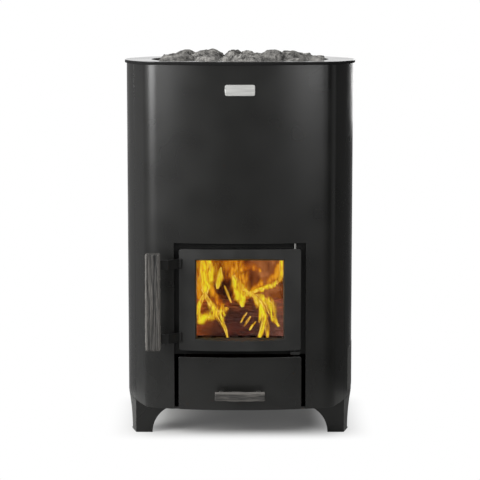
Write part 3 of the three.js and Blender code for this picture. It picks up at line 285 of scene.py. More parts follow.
class StoveColours(bpy.types.PropertyGroup):
    """Colours of the stove that a user would change"""

    paint: bpy.props.FloatVectorProperty(
        name="Stove paint",
        description="Satin black heat-resistant paint of the jacket",
        subtype="COLOR",
        default=linear("#131312"),
    )
    # Painted shade: the rim's black is darker than the jacket's, so that the rim's lip reads as the shade
    # under the rim
    rim: bpy.props.FloatVectorProperty(
        name="Rim paint",
        description="Deeper, glossier black of the rim round the stones",
        subtype="COLOR",
        default=linear("#0b0b0b"),
    )
    casting: bpy.props.FloatVectorProperty(
        name="Cast iron",
        description="Black-painted cast iron of the door and its frame",
        subtype="COLOR",
        default=linear("#151514"),
    )
    wood_light: bpy.props.FloatVectorProperty(
        name="Handle wood, raised",
        description="Weathered grey of the raised grain",
        subtype="COLOR",
        default=linear("#53504c"),
    )
    wood_dark: bpy.props.FloatVectorProperty(
        name="Handle wood, grooves",
        description="Dark grey in the grooves of the grain",
        subtype="COLOR",
        default=linear("#0e0e0d"),
    )
    # Painted highlight: this paler grey stands for the light that the rounded long edges of the handles catch
    wood_edge_highlight: bpy.props.FloatVectorProperty(
        name="Handle wood, edges",
        description="Paler grey of the rubbed edges",
        subtype="COLOR",
        default=linear("#6f6c68"),
    )
    stone_light: bpy.props.FloatVectorProperty(
        name="Stone, light",
        description="Pale grey grains of the stones",
        subtype="COLOR",
        default=linear("#878581"),
    )
    stone_dark: bpy.props.FloatVectorProperty(
        name="Stone, dark",
        description="Dark grey body of the stones",
        subtype="COLOR",
        default=linear("#1f1e1d"),
    )
    flame_core: bpy.props.FloatVectorProperty(
        name="Flame core",
        description="Yellow of the hot part of the flames",
        subtype="COLOR",
        default=linear("#f0dc2a"),
    )
    flame_edge: bpy.props.FloatVectorProperty(
        name="Flame edge",
        description="Orange brown of the cool edge of the flames",
        subtype="COLOR",
        default=linear("#8a3a06"),
    )


def sizes():
    return bpy.context.scene.stove_sizes


def colours():
    return bpy.context.scene.stove_colours


def deselect():
    """Leaves edit mode and selects nothing."""
    if bpy.context.object and bpy.context.object.mode != "OBJECT":
        bpy.ops.object.mode_set(mode="OBJECT")
    bpy.ops.object.select_all(action="DESELECT")


def activate(piece):
    deselect()
    piece.select_set(True)
    bpy.context.view_layer.objects.active = piece


def edit(piece):
    """Opens the piece in edit mode with all of it selected."""
    activate(piece)
    bpy.ops.object.mode_set(mode="EDIT")
    bpy.ops.mesh.select_all(action="SELECT")


def pick(piece, kind, wanted):
    """Selects the verts, edges or faces of the piece in edit mode for which wanted is true."""
    mode = {"verts": "VERT", "edges": "EDGE", "faces": "FACE"}[kind]
    bpy.ops.mesh.select_mode(type=mode)
    bpy.ops.mesh.select_all(action="DESELECT")
    mesh = bmesh.from_edit_mesh(piece.data)
    chosen = [item for item in getattr(mesh, kind) if wanted(item)]
    if not chosen:
        raise RuntimeError(f"{piece.name}: found no {kind} to shape")
    for item in chosen:
        item.select_set(True)
    mesh.select_flush_mode()
    bmesh.update_edit_mesh(piece.data)


def modify(piece, kind, **settings):
    """Adds a modifier with these settings and applies it."""
    activate(piece)
    modifier = piece.modifiers.new(kind, kind)
    for key, value in settings.items():
        setattr(modifier, key, value)
    bpy.ops.object.modifier_apply(modifier=modifier.name)


def named(piece, name):
    piece.name = name
    piece.data.name = name
    return piece


def soften(piece, width):
    """Rounds the sharp edges and shades the piece so that flat faces stay flat."""
    activate(piece)
    bpy.ops.object.shade_smooth_by_angle(angle=SMOOTH_ANGLE)
    modify(
        piece,
        "BEVEL",
        width=width,
        segments=3,
        limit_method="ANGLE",
        angle_limit=SHARP_ANGLE,
        use_clamp_overlap=True,
    )
    activate(piece)
    bpy.ops.object.shade_smooth_by_angle(angle=SMOOTH_ANGLE)
    modify(piece, "WEIGHTED_NORMAL", mode="FACE_AREA", weight=90, keep_sharp=True)


def dress(piece, body, slot, material, *nodes):
    """Gives a finished piece its finish and its body, and hides the CAD nodes that it stands for."""
    deselect()
    piece.data.materials.clear()
    piece.data.materials.append(material)
    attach(piece, body)
    if nodes:
        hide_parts(*nodes)


def cad_copy(name, node):
    """A new piece that starts as a merged copy of a CAD node."""
    deselect()
    piece = bpy.data.objects.new(name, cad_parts[node].data.copy())
    piece.data.name = name
    bpy.context.scene.collection.objects.link(piece)
    activate(piece)
    bpy.ops.mesh.customdata_custom_splitnormals_clear()
    edit(piece)
    bpy.ops.mesh.remove_doubles(threshold=MERGE)
    bpy.ops.mesh.mark_sharp(clear=True)
    bpy.ops.mesh.dissolve_limited(angle_limit=FLAT_ANGLE)
    bpy.ops.object.mode_set(mode="OBJECT")
    return piece


def upright_edge(name, x, y, low, high):
    """A piece that is one upright edge, cut from a plane."""
    deselect()
    height = high - low
    bpy.ops.mesh.primitive_plane_add(
        size=height,
        location=(x + height / 2, y, (low + high) / 2),
        rotation=(math.pi / 2, 0, 0),
    )
    piece = named(bpy.context.object, name)
    bpy.ops.object.transform_apply(location=True, rotation=True, scale=True)
    edit(piece)
    pick(piece, "verts", lambda corner: corner.co.x > x + height / 2)
    bpy.ops.mesh.delete(type="VERT")
    bpy.ops.mesh.select_all(action="SELECT")
    return piece


def curved_sheet(name, arcs, low, high):
    """Spins an upright edge clockwise along arcs of (middle x, middle y, radius, first and last angle)."""
    x, y, radius, first, _ = arcs[0]
    piece = upright_edge(
        name, x + radius * math.cos(first), y + radius * math.sin(first), low, high
    )
    for x, y, radius, first, last in arcs:
        turn = first - last
        steps = max(1, math.ceil(turn * radius / ARC_STEP))
        bpy.ops.mesh.spin(steps=steps, angle=turn, center=(x, y, 0), axis=(0, 0, 1))
    bpy.ops.mesh.select_all(action="SELECT")
    bpy.ops.mesh.remove_doubles(threshold=MERGE)
    mesh = bmesh.from_edit_mesh(piece.data)
    face = min(mesh.faces, key=lambda f: f.calc_center_median().y)
    outwards = face.calc_center_median() - Vector((0, MIDDLE_Y, 0))
    if face.normal.xy.dot(outwards.xy) < 0:
        bpy.ops.mesh.flip_normals()
    bpy.ops.object.mode_set(mode="OBJECT")
    return piece


def round_corners(piece, radius):
    """Rounds the four corners of a curved sheet before it gets its thickness."""
    reach = max(abs(corner.co.x) for corner in piece.data.vertices)
    heights = [corner.co.z for corner in piece.data.vertices]
    low, high = min(heights), max(heights)

    def at_corner(corner):
        place = corner.co
        return abs(place.x) > reach - NEAR and not low + NEAR < place.z < high - NEAR

    edit(piece)
    pick(piece, "verts", at_corner)
    bpy.ops.mesh.bevel(offset=radius, segments=5, affect="VERTICES")
    bpy.ops.object.mode_set(mode="OBJECT")


def front_arc(half, inset=0.0):
    """The part of the jacket's front arc between two points at a distance from the middle."""
    radius = sizes().front_radius - inset
    sweep = math.asin(half / radius)
    return (0, FRONT_Y + sizes().front_radius, radius, sweep - math.pi / 2, -sweep - math.pi / 2)


def side_arc(near, far, inset=0.0):
    """The part of the jacket's right side arc between two distances behind the front face."""
    radius = sizes().side_radius - inset
    near_angle, far_angle = (math.asin((FRONT_Y + y - MIDDLE_Y) / radius) for y in (near, far))
    return (HALF_WIDTH - sizes().side_radius, MIDDLE_Y, radius, far_angle, near_angle)


def wrap_arcs():
    """The jacket's plan from the right seam round the front to the left seam.

    The corner round touches the front arc and the side arc, so its middle is where two smaller arcs cross.
    """
    size = sizes()
    front = Vector((0, FRONT_Y + size.front_radius))
    side = Vector((HALF_WIDTH - size.side_radius, MIDDLE_Y))
    front_reach = size.front_radius - size.corner_radius
    side_reach = size.side_radius - size.corner_radius
    between = side - front
    along = (front_reach**2 - side_reach**2 + between.length_squared) / (2 * between.length)
    across = math.sqrt(front_reach**2 - along**2)
    unit = between.normalized()
    corner = front + unit * along + Vector((-unit.y, unit.x)) * across
    front_end = math.atan2(corner.y - front.y, corner.x - front.x)
    side_start = math.atan2(corner.y - side.y, corner.x - side.x)
    _, _, _, seam, _ = side_arc(0, size.seam_setback - size.seam_gap / 2)
    return [
        (side.x, side.y, size.side_radius, seam, side_start),
        (corner.x, corner.y, size.corner_radius, side_start, front_end),
        (front.x, front.y, size.front_radius, front_end, -math.pi - front_end),
        (-corner.x, corner.y, size.corner_radius, -math.pi - front_end, -math.pi - side_start),
        (-side.x, side.y, size.side_radius, -math.pi - side_start, -math.pi - seam),
    ]


def turned(arcs):
    """The same arcs turned half a turn about the middle of the stove."""
    half_turn = math.pi
    return [(-x, 2 * MIDDLE_Y - y, r, a + half_turn, b + half_turn) for x, y, r, a, b in arcs]


def per_mm(size):
    """The scale of a pattern whose features have this size in millimetres."""
    return 1 / (size * MM)


def add(tree, kind, inputs=None, **settings):
    """Adds a node. Settings are its own values; inputs are values, or sockets to link, by name or number."""
    node = tree.nodes.new(kind)
    for key, value in settings.items():
        setattr(node, key, value)
    for key, value in (inputs or {}).items():
        if isinstance(value, bpy.types.NodeSocket):
            tree.links.new(value, node.inputs[key])
        else:
            node.inputs[key].default_value = value
    return node


def start_material(name):
    material = bpy.data.materials.new(name)
    material.use_nodes = True
    tree = material.node_tree
    place = add(tree, "ShaderNodeTexCoord").outputs["Object"]
    return material, tree, tree.nodes["Principled BSDF"], place


def set_ramp(ramp, *stops):
    """Gives a colour ramp its stops, each a place and a linear colour."""
    elements = ramp.color_ramp.elements
    while len(elements) < len(stops):
        elements.new(1.0)
    for element, (position, colour) in zip(elements, stops):
        element.position = position
        element.color = (*colour, 1)


def wire(tree, shader, **links):
    """Links sockets to the shader's inputs; an underscore in a name stands for a space."""
    for key, socket in links.items():
        tree.links.new(socket, shader.inputs[key.replace("_", " ")])


def stove_paint(name, paint, shine, gloss, lip=None):
    """Silicone stove paint, sprayed on sheet steel and baked: satin, with a fine peel and duller patches.

    Shine is the lowest roughness and gloss the specular level: the rim is sprayed thicker than the jacket.
    Below the height of a lip, if there is one, the coat is thin and stays matt.
    """
    material, tree, shader, place = start_material(name)
    faded = [1.25 * channel + 0.001 for channel in paint]
    # The peel is about 0.8 mm on the real sheet and is drawn twice as coarse, so that it shows
    peel = add(tree, "ShaderNodeTexNoise", {"Vector": place, "Scale": per_mm(1.6), "Detail": 2})
    patches = add(tree, "ShaderNodeTexNoise", {"Vector": place, "Scale": per_mm(80), "Detail": 1})
    dull = add(
        tree,
        "ShaderNodeMapRange",
        {
            "Value": patches.outputs["Fac"],
            "From Min": 0.3,
            "From Max": 0.7,
            "To Min": shine,
            "To Max": shine + 0.06,
        },
    )
    rough = dull.outputs["Result"]
    if lip:
        height = add(tree, "ShaderNodeSeparateXYZ", {0: place}).outputs["Z"]
        matt = add(
            tree,
            "ShaderNodeMapRange",
            {"Value": height, "From Min": lip - 1.5 * MM, "From Max": lip, "To Min": 0.95, "To Max": 0.0},
        )
        rough = add(
            tree, "ShaderNodeMath", {0: matt.outputs["Result"], 1: rough}, operation="MAXIMUM"
        ).outputs[0]
    tint = add(tree, "ShaderNodeValToRGB", {"Fac": patches.outputs["Fac"]})
    set_ramp(tint, (0.35, paint), (0.75, faded))
    bump = add(
        tree, "ShaderNodeBump", {"Height": peel.outputs["Fac"], "Strength": 0.12, "Distance": 0.05 * MM}
    )
    shader.inputs["Specular IOR Level"].default_value = gloss
    wire(tree, shader, Base_Color=tint.outputs["Color"], Roughness=rough)
    wire(tree, shader, Normal=bump.outputs["Normal"])
    return material


def jacket_paint():
    return stove_paint("stove_paint", colours().paint, 0.26, 0.4)


def rim_paint():
    # Painted shade: a darker black than the jacket's, so that the lip reads as shaded
    return stove_paint("rim_paint", colours().rim, 0.1, 0.25, RIM_TOP - 0.5 * MM)


def painted_casting():
    """Sand-cast iron under black stove paint: dull, with the grain of the sand mould."""
    material, tree, shader, place = start_material("painted_casting")
    iron = colours().casting
    worn = [1.7 * channel + 0.002 for channel in iron]
    # The sand grain is about 0.5 mm on the real casting and is drawn at 1.2 mm, so that it shows
    sand = add(tree, "ShaderNodeTexNoise", {"Vector": place, "Scale": per_mm(1.2), "Detail": 3})
    patches = add(tree, "ShaderNodeTexNoise", {"Vector": place, "Scale": per_mm(45), "Detail": 2})
    dull = add(
        tree,
        "ShaderNodeMapRange",
        {"Value": patches.outputs["Fac"], "From Min": 0.3, "From Max": 0.7, "To Min": 0.42, "To Max": 0.52},
    )
    tint = add(tree, "ShaderNodeValToRGB", {"Fac": patches.outputs["Fac"]})
    set_ramp(tint, (0.35, iron), (0.8, worn))
    bump = add(
        tree, "ShaderNodeBump", {"Height": sand.outputs["Fac"], "Strength": 0.3, "Distance": 0.12 * MM}
    )
    shader.inputs["Specular IOR Level"].default_value = 0.4
    wire(tree, shader, Base_Color=tint.outputs["Color"], Roughness=dull.outputs["Result"])
    wire(tree, shader, Normal=bump.outputs["Normal"])
    return material


def brushed_aluminium(name, dark, light, shine):
    """Brushed aluminium plate: fine level scratches that spread its shine sideways.

    Shine is how metallic it looks: the plate low on the shaded right side gets a darker, less metallic copy,
    which is painted shade.
    """
    material, tree, shader, place = start_material(name)
    # Scratches are about 0.1 mm apart and are drawn at 0.7 mm, so that they show
    stretch = add(
        tree,
        "ShaderNodeMapping",
        {"Vector": place, "Scale": (per_mm(40), per_mm(40), per_mm(0.7))},
    )
    scratches = add(
        tree, "ShaderNodeTexNoise", {"Vector": stretch.outputs["Vector"], "Scale": 1, "Detail": 4}
    )
    dull = add(
        tree,
        "ShaderNodeMapRange",
        {"Value": scratches.outputs["Fac"], "From Min": 0.3, "From Max": 0.7, "To Min": 0.34, "To Max": 0.5},
    )
    tint = add(tree, "ShaderNodeValToRGB", {"Fac": scratches.outputs["Fac"]})
    set_ramp(tint, (0.3, linear(dark)), (0.7, linear(light)))
    shader.inputs["Metallic"].default_value = shine
    wire(tree, shader, Base_Color=tint.outputs["Color"], Roughness=dull.outputs["Result"])
    return material


def handle_wood(name, node, across, along, run):
    """Brushed and stained ash, weathered grey: soft wood worn away between raised lines of grain.

    Run is the axis of the grain, 0 for X and 2 for Z; across and along are the grain's sizes in millimetres.
    The long edges of the node's bar are painted paler than its face: a painted highlight where light catches
    their rounding.
    """
    material, tree, shader, place = start_material(name)
    shade = colours()
    grain_scale = [per_mm(across)] * 3
    grain_scale[run] = per_mm(along)
    fibre_scale = [per_mm(across * 0.35)] * 3
    fibre_scale[run] = per_mm(along * 0.4)
    grain_place = add(tree, "ShaderNodeMapping", {"Vector": place, "Scale": grain_scale})
    fibre_place = add(tree, "ShaderNodeMapping", {"Vector": place, "Scale": fibre_scale})
    grain = add(
        tree,
        "ShaderNodeTexNoise",
        {
            "Vector": grain_place.outputs["Vector"],
            "Scale": 1,
            "Detail": 5,
            "Roughness": 0.6,
            "Distortion": 0.15,
        },
    )
    fibre = add(
        tree, "ShaderNodeTexNoise", {"Vector": fibre_place.outputs["Vector"], "Scale": 1, "Detail": 3}
    )
    both = add(
        tree, "ShaderNodeMath", {0: grain.outputs["Fac"], 1: fibre.outputs["Fac"]}, operation="ADD"
    )
    halved = add(tree, "ShaderNodeMath", {0: both.outputs[0], 1: 0.5}, operation="MULTIPLY")
    tint = add(tree, "ShaderNodeValToRGB", {"Fac": halved.outputs[0]})
    between = [(a + b) / 2.4 for a, b in zip(shade.wood_dark, shade.wood_light)]
    set_ramp(tint, (0.45, shade.wood_dark), (0.53, between), (0.61, shade.wood_light))
    bump = add(
        tree, "ShaderNodeBump", {"Height": halved.outputs[0], "Strength": 0.7, "Distance": 0.8 * MM}
    )
    low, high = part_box(node)
    side = 2 - run
    middle = (low[side] + high[side]) / 2
    half = (high[side] - low[side]) / 2
    parts = add(tree, "ShaderNodeSeparateXYZ", {0: place})
    offset = add(tree, "ShaderNodeMath", {0: parts.outputs[side], 1: middle}, operation="SUBTRACT")
    aside = add(tree, "ShaderNodeMath", {0: offset.outputs[0]}, operation="ABSOLUTE")
    # Painted highlight: paler towards the bar's long edges, where the rounded edge catches the light
    highlighted = add(
        tree,
        "ShaderNodeMapRange",
        {"Value": aside.outputs[0], "From Min": 0.66 * half, "From Max": half, "To Min": 0.0, "To Max": 0.75},
    )
    # Mixes the painted edge highlight into the colour of the grain
    worn = add(
        tree,
        "ShaderNodeMix",
        {0: highlighted.outputs["Result"], 6: tint.outputs["Color"], 7: (*shade.wood_edge_highlight, 1)},
        data_type="RGBA",
    )
    shader.inputs["Roughness"].default_value = 0.72
    wire(tree, shader, Base_Color=worn.outputs[2], Normal=bump.outputs["Normal"])
    return material


def zinc_plate():
    """Zinc-plated steel of screws, pins and stand-offs: pale, half dull, with faint blue-grey patches."""
    material, tree, shader, place = start_material("zinc_plate")
    patches = add(tree, "ShaderNodeTexNoise", {"Vector": place, "Scale": per_mm(6), "Detail": 4})
    tint = add(tree, "ShaderNodeValToRGB", {"Fac": patches.outputs["Fac"]})
    set_ramp(tint, (0.3, linear("#8f908f")), (0.7, linear("#b3b2ad")))
    shader.inputs["Metallic"].default_value = 1.0
    shader.inputs["Roughness"].default_value = 0.33
    wire(tree, shader, Base_Color=tint.outputs["Color"])
    return material


def sooty_steel():
    """Hot-rolled sheet inside a stove: blue-grey mill scale under a film of soot."""
    material, tree, shader, place = start_material("sooty_steel")
    soot = add(
        tree, "ShaderNodeTexNoise", {"Vector": place, "Scale": per_mm(55), "Detail": 6, "Roughness": 0.6}
    )
    tint = add(tree, "ShaderNodeValToRGB", {"Fac": soot.outputs["Fac"]})
    set_ramp(tint, (0.35, linear("#1d1b1a")), (0.55, linear("#3a3735")), (0.75, linear("#55514d")))
    dull = add(
        tree,
        "ShaderNodeMapRange",
        {"Value": soot.outputs["Fac"], "From Min": 0.3, "From Max": 0.7, "To Min": 0.85, "To Max": 0.55},
    )
    shader.inputs["Metallic"].default_value = 0.4
    wire(tree, shader, Base_Color=tint.outputs["Color"], Roughness=dull.outputs["Result"])
    return material


def heater_stone():
    """Split olivine rock: rough grey faces, with pale grains and darker beds."""
    material, tree, shader, place = start_material("heater_stone")
    shade = colours()
    beds = add(
        tree, "ShaderNodeTexNoise", {"Vector": place, "Scale": per_mm(16), "Detail": 8, "Roughness": 0.75}
    )
    # Grains are 1 to 2 mm in the real rock and are drawn at 3 mm, so that they show
    grains = add(tree, "ShaderNodeTexVoronoi", {"Vector": place, "Scale": per_mm(3), "Randomness": 1.0})
    tint = add(tree, "ShaderNodeValToRGB", {"Fac": beds.outputs["Fac"]})
    between = [(a + b) / 2 for a, b in zip(shade.stone_dark, shade.stone_light)]
    set_ramp(tint, (0.4, shade.stone_dark), (0.52, between), (0.62, shade.stone_light))
    fleck = add(
        tree,
        "ShaderNodeMapRange",
        {"Value": grains.outputs["Distance"], "From Min": 0.1, "From Max": 0.5, "To Min": 0.5, "To Max": 0.0},
    )
    flecked = add(
        tree,
        "ShaderNodeMix",
        {0: fleck.outputs["Result"], 6: tint.outputs["Color"], 7: (*shade.stone_light, 1)},
        data_type="RGBA",
    )
    rough = add(
        tree, "ShaderNodeTexNoise", {"Vector": place, "Scale": per_mm(5), "Detail": 6, "Roughness": 0.7}
    )
    bump = add(
        tree, "ShaderNodeBump", {"Height": rough.outputs["Fac"], "Strength": 0.8, "Distance": 2.2 * MM}
    )
    shader.inputs["Roughness"].default_value = 0.88
    wire(tree, shader, Base_Color=flecked.outputs[2], Normal=bump.outputs["Normal"])
    return material


def burning_wood():
    """Birch firewood burnt to char: dark plates with embers glowing in the cracks between them."""
    material, tree, shader, place = start_material("burning_wood")
    plate_scale = [per_mm(size) for size in CHAR_PLATE]
    stretch = add(tree, "ShaderNodeMapping", {"Vector": place, "Scale": plate_scale})
    plates = add(
        tree,
        "ShaderNodeTexVoronoi",
        {"Vector": stretch.outputs["Vector"], "Scale": 1},
        feature="DISTANCE_TO_EDGE",
    )
    # The left ends glow, the middles are black char and the right ends have turned to ash; this ramp is
    # emitted, so the pale ash end is painted fire light on the ash
    parts = add(tree, "ShaderNodeSeparateXYZ", {0: place})
    half_log = 85 * MM
    end_to_end = add(
        tree,
        "ShaderNodeMapRange",
        {"Value": parts.outputs["X"], "From Min": -half_log, "From Max": half_log},
    )
    spot = add(tree, "ShaderNodeTexNoise", {"Vector": place, "Scale": per_mm(24), "Detail": 4})
    uneven = add(
        tree,
        "ShaderNodeMix",
        {0: 0.3, 2: end_to_end.outputs["Result"], 3: spot.outputs["Fac"]},
        data_type="FLOAT",
    )
    burnt = add(tree, "ShaderNodeValToRGB", {"Fac": uneven.outputs[0]})
    set_ramp(
        burnt,
        (0.18, linear("#68300c")),
        (0.36, linear("#20080a")),
        (0.58, linear("#17070b")),
        (0.8, linear("#5a3a32")),
    )
    ash = add(tree, "ShaderNodeTexNoise", {"Vector": place, "Scale": per_mm(14), "Detail": 5})
    tint = add(tree, "ShaderNodeValToRGB", {"Fac": ash.outputs["Fac"]})
    set_ramp(tint, (0.35, linear("#140a0a")), (0.55, linear("#341a16")), (0.72, linear("#5c3b30")))
    hot = add(tree, "ShaderNodeTexNoise", {"Vector": place, "Scale": per_mm(60), "Detail": 2})
    crack = add(
        tree,
        "ShaderNodeMapRange",
        {"Value": plates.outputs["Distance"], "From Min": 0.0, "From Max": 0.3, "To Min": 1.0, "To Max": 0.0},
    )
    alight = add(
        tree,
        "ShaderNodeMapRange",
        {"Value": hot.outputs["Fac"], "From Min": 0.42, "From Max": 0.72, "To Min": 0.1, "To Max": 0.8},
    )
    glow = add(tree, "ShaderNodeMath", {0: crack.outputs[0], 1: alight.outputs[0]}, operation="MULTIPLY")
    ember = add(tree, "ShaderNodeValToRGB", {"Fac": glow.outputs[0]})
    set_ramp(ember, (0.0, linear("#000000")), (0.5, linear("#4e1a08")), (1.0, linear("#c8641a")))
    # Emission: the ember glow added to the ramp along the log, whose ash end is painted light
    shown = add(
        tree,
        "ShaderNodeMix",
        {0: 1.0, 6: burnt.outputs["Color"], 7: ember.outputs["Color"]},
        data_type="RGBA",
        blend_type="ADD",
    )
    bump = add(
        tree, "ShaderNodeBump", {"Height": plates.outputs["Distance"], "Strength": 0.8, "Distance": 2 * MM}
    )
    shader.inputs["Roughness"].default_value = 0.9
    shader.inputs["Emission Strength"].default_value = 0.9
    wire(tree, shader, Base_Color=tint.outputs["Color"], Normal=bump.outputs["Normal"])
    wire(tree, shader, Emission_Color=shown.outputs[2])
    return material


def flame(name, fade, cool, streak, *stops):
    """Flame of burning wood: glowing soot, hottest in the middle of a tongue and thinner at its edge.

    The hotness attribute is 1 in the middle of a tongue and 0 at its edge. Fade is the power with which the
    tongue thins out from its middle to its edge, and lets through what is behind it. Cool is the power with
    which its colour cools on the way. Streak is the width and length of its streaks in millimetres.
    """
    material, tree, shader, place = start_material(name)
    wide, long = (per_mm(size) for size in streak)
    # Streaks lean to the right as they rise
    stretch = add(
        tree,
        "ShaderNodeMapping",
        {"Vector": place, "Rotation": (0, math.radians(-24), 0), "Scale": (wide, wide, long)},
    )
    streaks = add(
        tree,
        "ShaderNodeTexNoise",
        {
            "Vector": stretch.outputs["Vector"],
            "Scale": 1,
            "Detail": 3,
            "Roughness": 0.5,
            "Distortion": 1.1,
        },
    )
    contrast = add(
        tree, "ShaderNodeMapRange", {"Value": streaks.outputs["Fac"], "From Min": 0.34, "From Max": 0.66}
    )
    wisps = add(
        tree,
        "ShaderNodeMapRange",
        {"Value": streaks.outputs["Fac"], "From Min": 0.36, "From Max": 0.6, "To Min": 0.12, "To Max": 1.0},
    )
    hotness = add(tree, "ShaderNodeAttribute", attribute_name="hotness")
    thin = add(tree, "ShaderNodeMath", {0: hotness.outputs["Fac"], 1: fade}, operation="POWER")
    cooled = add(tree, "ShaderNodeMath", {0: hotness.outputs["Fac"], 1: cool}, operation="POWER")
    level = add(
        tree,
        "ShaderNodeMix",
        {0: 0.58, 2: cooled.outputs[0], 3: contrast.outputs["Result"]},
        data_type="FLOAT",
    )
    veil = add(
        tree, "ShaderNodeMath", {0: thin.outputs[0], 1: wisps.outputs["Result"]}, operation="MULTIPLY"
    )
    fire = add(tree, "ShaderNodeValToRGB", {"Fac": level.outputs[0]})
    set_ramp(fire, *stops)
    shader.inputs["Base Color"].default_value = (0, 0, 0, 1)
    shader.inputs["Roughness"].default_value = 1.0
    shader.inputs["Specular IOR Level"].default_value = 0.0
    shader.inputs["Emission Strength"].default_value = 1.0
    wire(tree, shader, Emission_Color=fire.outputs["Color"], Alpha=veil.outputs[0])
    return material


def hot_flame():
    """Yellow tongues with an orange brown edge."""
    shade = colours()
    return flame(
        "flame",
        5.0,
        6.0,
        (9, 34),
        (0.1, linear("#5a2004")),
        (0.3, shade.flame_edge),
        (0.44, linear("#c87a10")),
        (0.58, linear("#eab622")),
        (0.74, shade.flame_core),
        (0.95, linear("#cfd21c")),
    )


def flame_line():
    """Bright line where fresh air meets the flame."""
    return flame(
        "flame_line",
        5.0,
        2.5,
        (9, 30),
        (0.15, linear("#9c560a")),
        (0.5, linear("#d89c26")),
        (0.9, linear("#f5d668")),
    )


def low_flame():
    """Orange flame further back, dimmer than the tongues."""
    shade = colours()
    return flame(
        "low_flame",
        4.0,
        3.0,
        (14, 40),
        (0.2, linear("#2e0c03")),
        (0.45, shade.flame_edge),
        (0.65, linear("#b8620c")),
        (0.92, linear("#dd9a1e")),
    )


def fire_haze():
    """Dim fire light at the back of the firebox."""
    return flame(
        "fire_haze",
        0.02,
        0.02,
        (34, 46),
        (0.45, linear("#100404")),
        (0.62, linear("#2a0d06")),
        (0.8, linear("#5c280a")),
        (1.0, linear("#945012")),
    )


def smoke_haze():
    """Pale brown smoke that the fire lights from below."""
    return flame(
        "smoke_haze",
        2.0,
        2.0,
        (30, 50),
        (0.1, linear("#32100a")),
        (0.5, linear("#743818")),
        (1.0, linear("#ad6c3c")),
    )


def stove_glass():
    """Rolled glass ceramic with a coat that keeps reflections low: clear, very slightly wavy."""
    material, tree, shader, place = start_material("stove_glass")
    wave = add(tree, "ShaderNodeTexNoise", {"Vector": place, "Scale": per_mm(45), "Detail": 1})
    bump = add(
        tree, "ShaderNodeBump", {"Height": wave.outputs["Fac"], "Strength": 0.05, "Distance": 0.2 * MM}
    )
    shader.inputs["Base Color"].default_value = (*linear("#fcfaf5"), 1)
    shader.inputs["Transmission Weight"].default_value = 1.0
    shader.inputs["Roughness"].default_value = 0.0
    shader.inputs["IOR"].default_value = 1.15
    wire(tree, shader, Normal=bump.outputs["Normal"])
    return material


def glass_rope():
    """Braided glass-fibre rope: matt grey yarn, 3 mm wide, that crosses at a slant."""
    material, tree, shader, place = start_material("glass_rope")
    heights = []
    for slant in (45, -45):
        lean = add(
            tree, "ShaderNodeMapping", {"Vector": place, "Rotation": (0, math.radians(slant), 0)}
        )
        # A wave is pi / 10 long at a scale of 1; a yarn of 3 mm and the gap beside it are one wave
        yarn = add(
            tree,
            "ShaderNodeTexWave",
            {"Vector": lean.outputs["Vector"], "Scale": per_mm(3) / 20 * math.pi, "Distortion": 0.6},
        )
        heights.append(yarn.outputs["Fac"])
    braid = add(tree, "ShaderNodeMath", {0: heights[0], 1: heights[1]}, operation="MULTIPLY")
    # Painted shade: the yarn is darker where the braid dips between the yarns
    tint = add(tree, "ShaderNodeValToRGB", {"Fac": braid.outputs[0]})
    set_ramp(tint, (0.0, linear("#4d4a45")), (0.6, linear("#98948b")))
    bump = add(
        tree, "ShaderNodeBump", {"Height": braid.outputs[0], "Strength": 0.9, "Distance": 0.8 * MM}
    )
    shader.inputs["Roughness"].default_value = 0.95
    wire(tree, shader, Base_Color=tint.outputs["Color"], Normal=bump.outputs["Normal"])
    return material


FINISHES = {
    "stove_paint": jacket_paint,
    "rim_paint": rim_paint,
    "painted_casting": painted_casting,
    "bright_aluminium": lambda: brushed_aluminium("bright_aluminium", "#c0c0bd", "#dadad7", 0.85),
    # Painted shade: a darker, duller copy of the plate aluminium for the rating plate on the shaded right
    # side
    "dull_aluminium": lambda: brushed_aluminium("dull_aluminium", "#5c5c5a", "#747472", 0.4),
    "upright_wood": lambda: handle_wood("upright_wood", "door_handle", 3.2, 120, 2),
    "level_wood": lambda: handle_wood("level_wood", "drawer_handle", 2.8, 100, 0),
    "zinc_plate": zinc_plate,
    "sooty_steel": sooty_steel,
    "heater_stone": heater_stone,
    "burning_wood": burning_wood,
    "flame": hot_flame,
    "flame_line": flame_line,
    "low_flame": low_flame,
    "fire_haze": fire_haze,
    "smoke_haze": smoke_haze,
    "stove_glass": stove_glass,
    "glass_rope": glass_rope,
}


def finish(name):
    """A finish by name, made the first time that it is asked for."""
    return bpy.data.materials.get(name) or FINISHES[name]()


